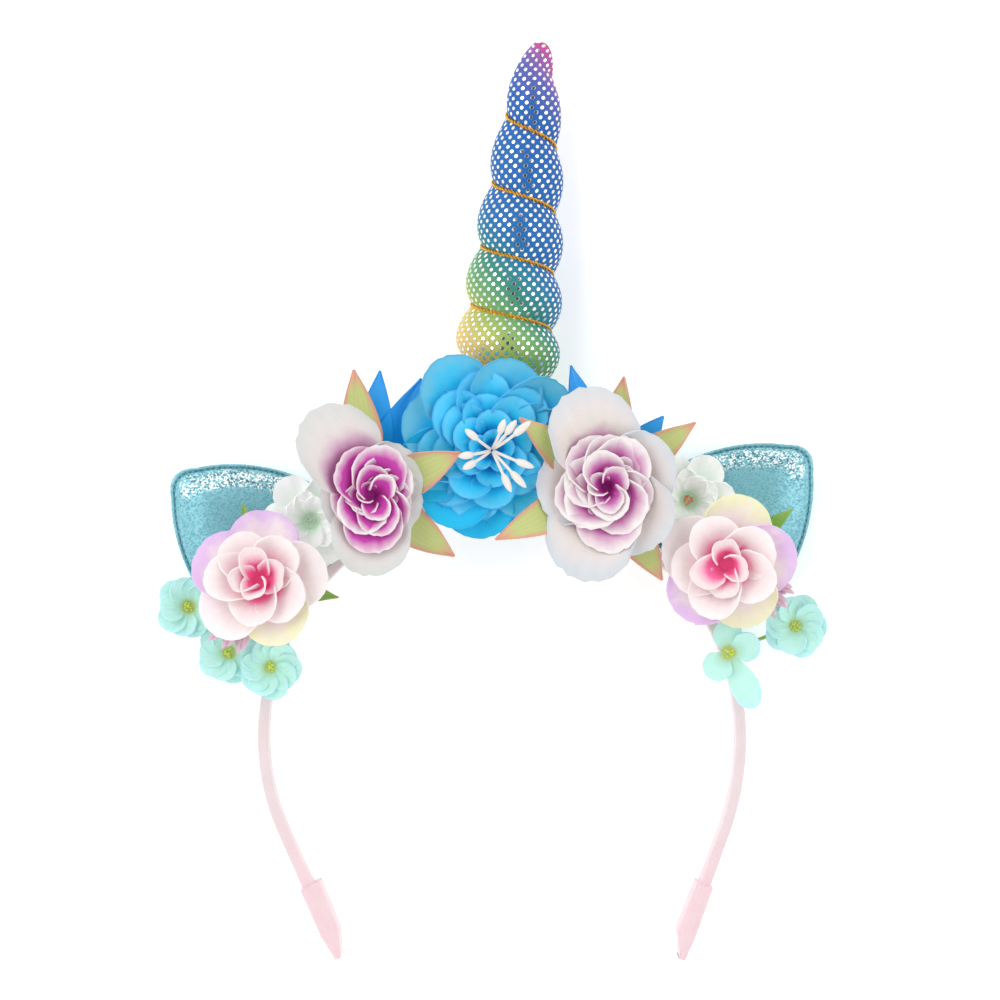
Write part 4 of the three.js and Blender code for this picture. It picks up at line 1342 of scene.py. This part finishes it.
def make_stem(name, at, lean, drop, radius, finish):
    """A wrapped wire from the band's front edge to the back of a flower"""
    drop = drop + radius * math.sin(math.radians(math.hypot(*lean)))
    outward = np.array(at[:2]) / np.linalg.norm(at[:2]) * BAND_RADIUS
    start = np.array([*outward, BAND_FRONT + STEM_CLEAR])
    end = np.array([at[0], at[1], at[2] - drop])
    rise = np.array([0, 0, (end[2] - start[2]) * STEM_BEND])
    path = bezier((start, start + rise, end - rise, end), STEM_STEPS)
    wraps = radius * (1 - WRAP_DEPTH + WRAP_DEPTH * np.sin(np.arange(STEM_STEPS) * WRAP_TURN))
    return make_tubes(name, [tube(path, wraps, STEM_SIDES)], finish)


GRAINS, GRAIN_RADIUS, GRAIN_LIFT, GRAIN_HEAP, GRAIN_SPREAD = 14, 0.32, 0.4, 0.5, 1.3


def make_pollen(name, at, finish, draw):
    """A low heap of grains in the throat of a blossom"""
    angle = draw.uniform(0, FULL_TURN, GRAINS)
    reach = GRAIN_SPREAD * np.sqrt(draw.uniform(0, 1, GRAINS))
    spots = polar(reach, angle, GRAIN_LIFT + GRAIN_HEAP * (GRAIN_SPREAD - reach)) + np.array(at)
    places = dots_object("grain_places", spots)
    return grow(name, places, pollen_tree(finish), finish, Grain=GRAIN_RADIUS * MM)


class MakeBlueFlower(bpy.types.Operator):
    """Stacks the blue flower's petal layers and sets its white stamens"""

    bl_idname = "tiara.make_blue_flower"
    bl_label = "Blue flower"

    AT, LEAN, PLAY = (-3.2, 78.6, 23.8), (7.0, 4.0), 1.8
    SHEER_LENGTHS = (18.0, 20.0, 19.0, 21.0, 18.5) + (17.5,) * 5
    SHEER_TINTS = (TINT_FIRST,) * 5 + (TINT_PLAIN,) * 5
    STAMEN_ROOT, STAMEN_LIFT, STAMEN_THREAD, STAMEN_BUD = 1.6, 66, 0.42, 1.05
    STAMENS = (
        (41, 14.5), (55, 11.5), (71, 10), (140, 10.5), (186, 10),
        (208, 9.8), (294, 12.6), (313, 14), (340, 12.6),
    )

    def execute(self, context):
        tones = colours()
        azure = petal_finish(
            "azure_cloth", (0.0, darker(tones.azure_deep, 0.3)), (0.35, tones.azure_deep),
            (0.62, tones.azure), (1.0, paler(tones.azure, 0.12)), edge=(0.45, 0.05, tones.azure_deep),
        )
        sheer = petal_finish(
            "sheer_teal_cloth", (0.0, tones.azure_deep), (0.4, tones.azure), (1.0, tones.azure),
            roughness=0.6, tips=(paler(tones.sheer, 0.1), tones.azure),
            edge=(0.5, 0.05, plain_mix(tones.azure_deep, tones.sheer, 0.45)),
        )
        draw = np.random.default_rng(11)
        for i, layer in enumerate(BLUE_LAYERS):
            lengths, tints = (None, None) if i else (self.SHEER_LENGTHS, self.SHEER_TINTS)
            blades = ring_blades(layer, draw, lengths=lengths, play=self.PLAY)
            piece = make_whorl(
                f"blue_petals_{i + 1}", blades, layer.root, SPOON_CUT if i else SHEER_CUT,
                azure if i else sheer, self.AT, draw, i * LAYER_STEP, self.LEAN, tints,
            )
            settle(piece, "azure_petal" if i else "teal_petal", f"blue_flower_layer_{i + 1}")
        lift = self.STAMEN_LIFT
        stamens = [Blade(azimuth, length, NO_WIDTH, lift, -lift) for azimuth, length in self.STAMENS]
        white = thread_finish("dipped_thread", display(232, 226, 220))
        piece = make_stamens(
            "white_stamens", stamens, self.STAMEN_ROOT, white, self.AT, len(BLUE_LAYERS) * LAYER_STEP,
            self.LEAN, self.STAMEN_THREAD, self.STAMEN_BUD,
        )
        settle(piece, "white_stamen", "blue_flower_stamens")
        return {"FINISHED"}


Rose = namedtuple("Rose", "side at lean size squeeze spin lengths leaves blues seed")
ROSES = (
    Rose("left", (-35.6, 65.7, 27.0), (0.0, 12.0), 1.0, 0.42, 126, (27, 10.5, 20.5, 11, 13),
         ROSE_LEFT_LEAVES, ROSE_LEFT_BLUES, 23),
    Rose("right", (27.8, 68.0, 23.3), (0.0, 0.0), 1.06, 0.22, 104, (26, 17, 26, 18.5, 18.5),
         ROSE_RIGHT_LEAVES, ROSE_RIGHT_BLUES, 37),
)


class MakeRoses(bpy.types.Operator):
    """Sets the two roses with their leaves, the blue petals behind them and their stems"""

    bl_idname = "tiara.make_roses"
    bl_label = "Roses"

    LEAF_ROOT, BLUE_ROOT, STEM_RADIUS, PLAY, OPENING = 5.6, 5.0, 2.4, 1.8, 5.0
    SLOTS = {"left": "mauve_petal", "right": "cream_petal"}
    CUTS = (SKIRT_CUT, ROSE_CUT, CORE_CUT, CORE_CUT)

    def execute(self, context):
        tones = colours()
        leaf = petal_finish(
            "rose_leaf_cloth", (0.0, plain_mix(tones.leaf, tones.leaf_edge, 0.55)), (0.35, tones.leaf),
            (0.8, tones.leaf), (1.0, plain_mix(tones.leaf, tones.leaf_edge, 0.5)),
            edge=(0.85, 0.22, tones.leaf_edge), veins=0.1,
        )
        royal = petal_finish(
            "royal_blue_cloth", (0.0, darker(tones.royal, 0.5)), (0.45, tones.royal),
            (1.0, paler(tones.royal, 0.06)), roughness=0.55, edge=(0.5, 0.04, darker(tones.royal, 0.4)),
        )
        stem = thread_finish("wrapped_wire", tones.green)
        finishes = {"left": self.mauve_finishes(), "right": self.cream_finishes()}
        for rose in ROSES:
            draw = np.random.default_rng(rose.seed)
            outer, inner = finishes[rose.side]
            name = f"rose_{rose.side}"
            for i, blades in enumerate(self.petal_layers(rose, draw)):
                piece = make_whorl(
                    f"{name}_petals_{i + 1}", blades, ROSE_LAYERS[i].root, self.CUTS[i],
                    inner if i else outer, rose.at, draw, i * LAYER_STEP, rose.lean,
                )
                settle(piece, self.SLOTS[rose.side], f"{name}_layer_{i + 1}")
            leaves = make_whorl(
                f"{name}_leaf_fan", rose.leaves, self.LEAF_ROOT, LEAF_CUT, leaf,
                rose.at, draw, -LAYER_STEP, rose.lean,
            )
            settle(leaves, "rose_leaf", f"{name}_leaves")
            blues = make_whorl(
                f"{name}_royal_fan", rose.blues, self.BLUE_ROOT, LEAF_CUT, royal,
                rose.at, draw, -2 * LAYER_STEP, rose.lean,
            )
            settle(blues, "royal_petal", f"{name}_blue_petals")
            wire = make_stem(f"{name}_wire", rose.at, rose.lean, 2 * LAYER_STEP, self.STEM_RADIUS, stem)
            settle(wire, "green_stem", f"{name}_stem")
        return {"FINISHED"}

    def petal_layers(self, rose, draw):
        """Petals of each layer: a skirt with lengths of its own, a double ring, and the heart"""
        skirt, double, *heart = ROSE_LAYERS
        skirt = skirt._replace(lift=skirt.lift - self.OPENING, spin=rose.spin)
        double = double._replace(lift=double.lift - self.OPENING)
        yield ring_blades(skirt, draw, rose.size, lengths=rose.lengths)
        yield ring_blades(double, draw, rose.size, rose.squeeze, rings=2, play=self.PLAY)
        for layer in heart:
            yield ring_blades(layer, draw, rose.size, rose.squeeze, play=self.PLAY)

    def mauve_finishes(self):
        tones = colours()
        pale = plain_mix(tones.magenta, tones.ivory, 0.55)
        outer = petal_finish(
            "mauve_outer_cloth", (0.0, tones.magenta), (0.36, plain_mix(tones.magenta, tones.ivory, 0.1)),
            (0.54, pale), (0.7, tones.ivory), (1.0, display(208, 211, 208)),
        )
        inner = petal_finish(
            "mauve_inner_cloth", (0.0, darker(tones.magenta, 0.2)), (0.4, tones.magenta),
            (0.78, tones.magenta), (0.91, pale), (1.0, paler(tones.ivory, 0.3)), painted_glow=0.1,
        )
        return outer, inner

    def cream_finishes(self):
        tones = colours()
        outer = petal_finish(
            "cream_outer_cloth", (0.0, tones.magenta), (0.4, plain_mix(tones.magenta, tones.ivory, 0.3)),
            (0.58, plain_mix(tones.ivory, tones.lime, 0.12)), (0.74, tones.ivory),
            (1.0, display(205, 212, 218)),
        )
        inner = petal_finish(
            "cream_inner_cloth", (0.0, darker(tones.magenta, 0.2)), (0.4, tones.magenta),
            (0.66, plain_mix(tones.magenta, tones.ivory, 0.15)),
            (0.82, plain_mix(tones.magenta, tones.ivory, 0.65)), (0.97, paler(tones.ivory, 0.3)), painted_glow=0.1,
        )
        return outer, inner


Pink = namedtuple("Pink", "side at lean leaves stamens tints seed")
PINKS = (
    Pink("left", (-64.0, 42.0, 19.8), (-12.0, -6.0), PINK_LEFT_LEAVES, ((227, 18), (239, 17.5), (251, 17)),
         (TINT_FIRST, TINT_FIRST, TINT_PLAIN, TINT_SECOND, TINT_PLAIN), 41),
    Pink("right", (60.2, 48.1, 19.8), (6.0, -6.0), PINK_RIGHT_LEAVES, ((312, 17), (324, 17.5), (336, 17)),
         (TINT_SECOND, TINT_PLAIN, TINT_FIRST, TINT_SECOND, TINT_FIRST), 53),
)


class MakePinkFlowers(bpy.types.Operator):
    """Sets the two pink flowers with their buds, green leaves and stems"""

    bl_idname = "tiara.make_pink_flowers"
    bl_label = "Pink flowers"

    ROOT, STEM_RADIUS, PLAYS = 3.4, 1.8, (1.2, 2.2, 2.4)
    BUD_SPREAD = ((-4.0, 0.88, 0.0), (0.0, 1.0, 3.0), (4.0, 0.94, 6.0))
    BUD_LIFT, BUD_CURL, BUD_THREAD, BUD_RADIUS = 4, 6, 0.3, 1.0

    def execute(self, context):
        tones = colours()
        tipped = petal_finish(
            "blush_outer_cloth", (0.0, tones.hot_pink), (0.25, tones.blush), (1.0, paler(tones.blush, 0.5)),
            tips=(tones.lilac, tones.lime), painted_glow=0.1,
        )
        blush = petal_finish(
            "blush_inner_cloth", (0.0, tones.hot_pink), (0.32, plain_mix(tones.hot_pink, tones.blush, 0.2)),
            (0.52, plain_mix(tones.hot_pink, tones.blush, 0.88)), (0.7, tones.blush),
            (1.0, paler(tones.blush, 0.3)), painted_glow=0.12,
        )
        heart = petal_finish(
            "blush_heart_cloth", (0.0, tones.hot_pink), (0.5, tones.hot_pink),
            (0.7, plain_mix(tones.hot_pink, tones.blush, 0.6)), (0.86, tones.blush), painted_glow=0.12,
        )
        leaf = petal_finish(
            "green_leaf_cloth", (0.0, darker(tones.green, 0.4)), (0.5, tones.green),
            (1.0, plain_mix(tones.green, tones.lime, 0.3)),
        )
        bud = thread_finish("mauve_thread", display(222, 182, 202))
        stem = thread_finish("pink_flower_wire", tones.green)
        for pink in PINKS:
            draw = np.random.default_rng(pink.seed)
            name = f"pink_{pink.side}"
            node = f"pink_flower_{pink.side}"
            for i, (layer, cloth) in enumerate(zip(PINK_LAYERS, (tipped, blush, heart))):
                blades = ring_blades(layer, draw, play=self.PLAYS[i])
                piece = make_whorl(
                    f"{name}_petals_{i + 1}", blades, layer.root, SOFT_CUT, cloth,
                    pink.at, draw, i * LAYER_STEP, pink.lean, None if i else pink.tints,
                )
                settle(piece, "blush_petal", f"{node}_layer_{i + 1}")
            stamens = [
                Blade(azimuth + aside, length * share, NO_WIDTH, self.BUD_LIFT + lift, self.BUD_CURL)
                for azimuth, length in pink.stamens for aside, share, lift in self.BUD_SPREAD
            ]
            buds = make_stamens(
                f"{name}_buds", stamens, self.ROOT, bud, pink.at, -LAYER_STEP, pink.lean,
                self.BUD_THREAD, self.BUD_RADIUS,
            )
            settle(buds, "bud_stamen", f"{node}_stamens")
            leaves = make_whorl(
                f"{name}_leaf_fan", pink.leaves, self.ROOT, LEAF_CUT, leaf,
                pink.at, draw, -2 * LAYER_STEP, pink.lean,
            )
            settle(leaves, "green_leaf", f"{node}_leaves")
            wire = make_stem(f"{name}_wire", pink.at, pink.lean, 2 * LAYER_STEP, self.STEM_RADIUS, stem)
            settle(wire, "green_stem", f"{node}_stem")
        return {"FINISHED"}


class MakeWhiteBlossoms(bpy.types.Operator):
    """Glues a white blossom to the front of each ear"""

    bl_idname = "tiara.make_white_blossoms"
    bl_label = "White blossoms"

    HEIGHT = 10.55
    PLACES = (("left", -51.8, 58.9, 61), ("right", 50.4, 64.6, 67))

    def execute(self, context):
        tones = colours()
        white = petal_finish(
            "white_petal_cloth", (0.0, tones.throat), (0.25, plain_mix(tones.throat, tones.white, 0.4)),
            (0.5, plain_mix(tones.throat, tones.white, 0.8)), (0.75, tones.white), painted_glow=0.18,
        )
        pollen = {
            "left": thread_finish("pale_pollen", display(206, 222, 196)),
            "right": thread_finish("orange_pollen", display(238, 132, 58)),
        }
        for side, x, y, seed in self.PLACES:
            draw = np.random.default_rng(seed)
            for i, layer in enumerate(WHITE_LAYERS):
                blades = ring_blades(layer, draw, rings=1 + i)
                piece = make_whorl(
                    f"white_petals_{side}_{i + 1}", blades, layer.root, WAVY_CUT, white,
                    (x, y, self.HEIGHT), draw, i * LAYER_STEP,
                )
                settle(piece, "white_petal", f"white_blossom_{side}_layer_{i + 1}")
            throat = (x, y, self.HEIGHT + LAYER_STEP)
            settle(make_pollen(f"white_pollen_{side}", throat, pollen[side], draw), "bud_stamen")
        return {"FINISHED"}


Spray = namedtuple("Spray", "side hub arms seed")
SPRAYS = (
    Spray("left", (-62.5, 19.6), ((144, 26), (161, 10)), 71),
    Spray("right", (61.1, 23.5), ((21, 18),), 73),
)
MINT_SHAPE = (MINT_LAYER.length, MINT_LAYER.width, MINT_LAYER.lift, MINT_LAYER.curl)
HANGING_PETALS = (*(Blade(azimuth, *MINT_SHAPE) for azimuth in (20, 95, 230)), Blade(295, 15, 7, 12, -20))


class MakeMintSprays(bpy.types.Operator):
    """Sets the mint florets on their stems beside the pink flowers"""

    bl_idname = "tiara.make_mint_sprays"
    bl_label = "Mint sprays"

    FLORET_HEIGHT, ARM_RISE, HUB_RISE, STEM_ROOT, ARM_SHARE = 12.5, 0.1, 3.0, 2.2, 0.97
    WIRE_CLEAR, WIRE_RADIUS, WIRE_STEPS, WIRE_SIDES = 0.8, 0.5, 16, 10
    HUB_RADII, HUB_STEPS, UPRIGHT_SIDES = (1.4, 0.9), 12, 12

    def execute(self, context):
        tones = colours()
        mint = petal_finish(
            "mint_petal_cloth", (0.0, plain_mix(tones.green, tones.lime, 0.5)),
            (0.2, plain_mix(tones.mint, tones.green, 0.2)), (0.5, tones.mint), (0.85, tones.mint),
            (1.0, tones.mint_tip), painted_glow=0.1,
        )
        stem = thread_finish("mint_stem_wire", display(150, 190, 60))
        pollen = thread_finish("pollen", display(206, 220, 40))
        for spray in SPRAYS:
            draw = np.random.default_rng(spray.seed)
            ends = [self.arm_end(spray.hub, *arm) for arm in spray.arms]
            wires = self.make_wires(f"mint_wires_{spray.side}", spray.hub, ends, stem)
            settle(wires, "green_stem", f"mint_stem_{spray.side}")
            florets = [(*spray.hub, self.FLORET_HEIGHT + self.HUB_RISE)]
            florets += [(*end, self.FLORET_HEIGHT + self.ARM_RISE) for end in ends]
            for i, at in enumerate(florets):
                label = f"{spray.side}_{i + 1}"
                hanging = label == "right_1"
                blades = HANGING_PETALS if hanging else ring_blades(MINT_LAYER, draw, rings=2)
                piece = make_whorl(f"mint_petals_{label}", blades, MINT_LAYER.root, MINT_CUT, mint, at, draw)
                settle(piece, "mint_petal", f"mint_floret_{label}")
                settle(make_pollen(f"mint_pollen_{label}", at, pollen, draw), "green_stem")
        return {"FINISHED"}

    def arm_end(self, hub, azimuth, length):
        reach = self.STEM_ROOT + length * self.ARM_SHARE
        angle = math.radians(azimuth)
        return hub[0] + reach * math.cos(angle), hub[1] + reach * math.sin(angle)

    def make_wires(self, name, hub, ends, finish):
        """A wire along the band to each floret, and a thicker one up to the floret at the hub"""
        low = BAND_FRONT + self.WIRE_CLEAR
        radii = np.full(self.WIRE_STEPS, self.WIRE_RADIUS)
        paths = [np.linspace((*hub, low), (*end, low), self.WIRE_STEPS) for end in ends]
        tubes = [tube(path, radii, self.WIRE_SIDES) for path in paths]
        foot, top = low - self.WIRE_RADIUS, self.FLORET_HEIGHT + self.HUB_RISE
        upright = np.linspace((*hub, foot), (*hub, top), self.HUB_STEPS)
        tubes.append(tube(upright, np.linspace(*self.HUB_RADII, self.HUB_STEPS), self.UPRIGHT_SIDES))
        return make_tubes(name, tubes, finish)


class TiaraPanel(bpy.types.Panel):
    """Lists the tiara's sizes, colours and pieces"""

    bl_idname = "VIEW3D_PT_tiara"
    bl_label = "Unicorn tiara"
    bl_space_type = "VIEW_3D"
    bl_region_type = "UI"
    bl_category = "Tiara"

    def draw(self, context):
        for group in (context.scene.tiara_sizes, context.scene.tiara_colours):
            for name in group.__annotations__:
                self.layout.prop(group, name)
        for operator in OPERATORS:
            self.layout.operator(operator.bl_idname)


OPERATORS = (
    MakeStage, MakeBand, MakeHorn, MakeGoldCord, MakeEars, MakeBlueFlower, MakeRoses, MakePinkFlowers,
    MakeWhiteBlossoms, MakeMintSprays,
)
CLASSES = (TiaraSizes, TiaraColours, *OPERATORS, TiaraPanel)


def register():
    for one in CLASSES:
        bpy.utils.register_class(one)
    bpy.types.Scene.tiara_sizes = bpy.props.PointerProperty(type=TiaraSizes)
    bpy.types.Scene.tiara_colours = bpy.props.PointerProperty(type=TiaraColours)


def unregister():
    del bpy.types.Scene.tiara_colours
    del bpy.types.Scene.tiara_sizes
    for one in reversed(CLASSES):
        bpy.utils.unregister_class(one)


def main():
    register()
    for operator in OPERATORS:
        group, name = operator.bl_idname.split(".")
        getattr(getattr(bpy.ops, group), name)()
    boxes = {"cad": CAD_BOX, "visual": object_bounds()}
    {name: [list(corner) for corner in box] for name, box in boxes.items()}


if __name__ == "__main__":
    main()
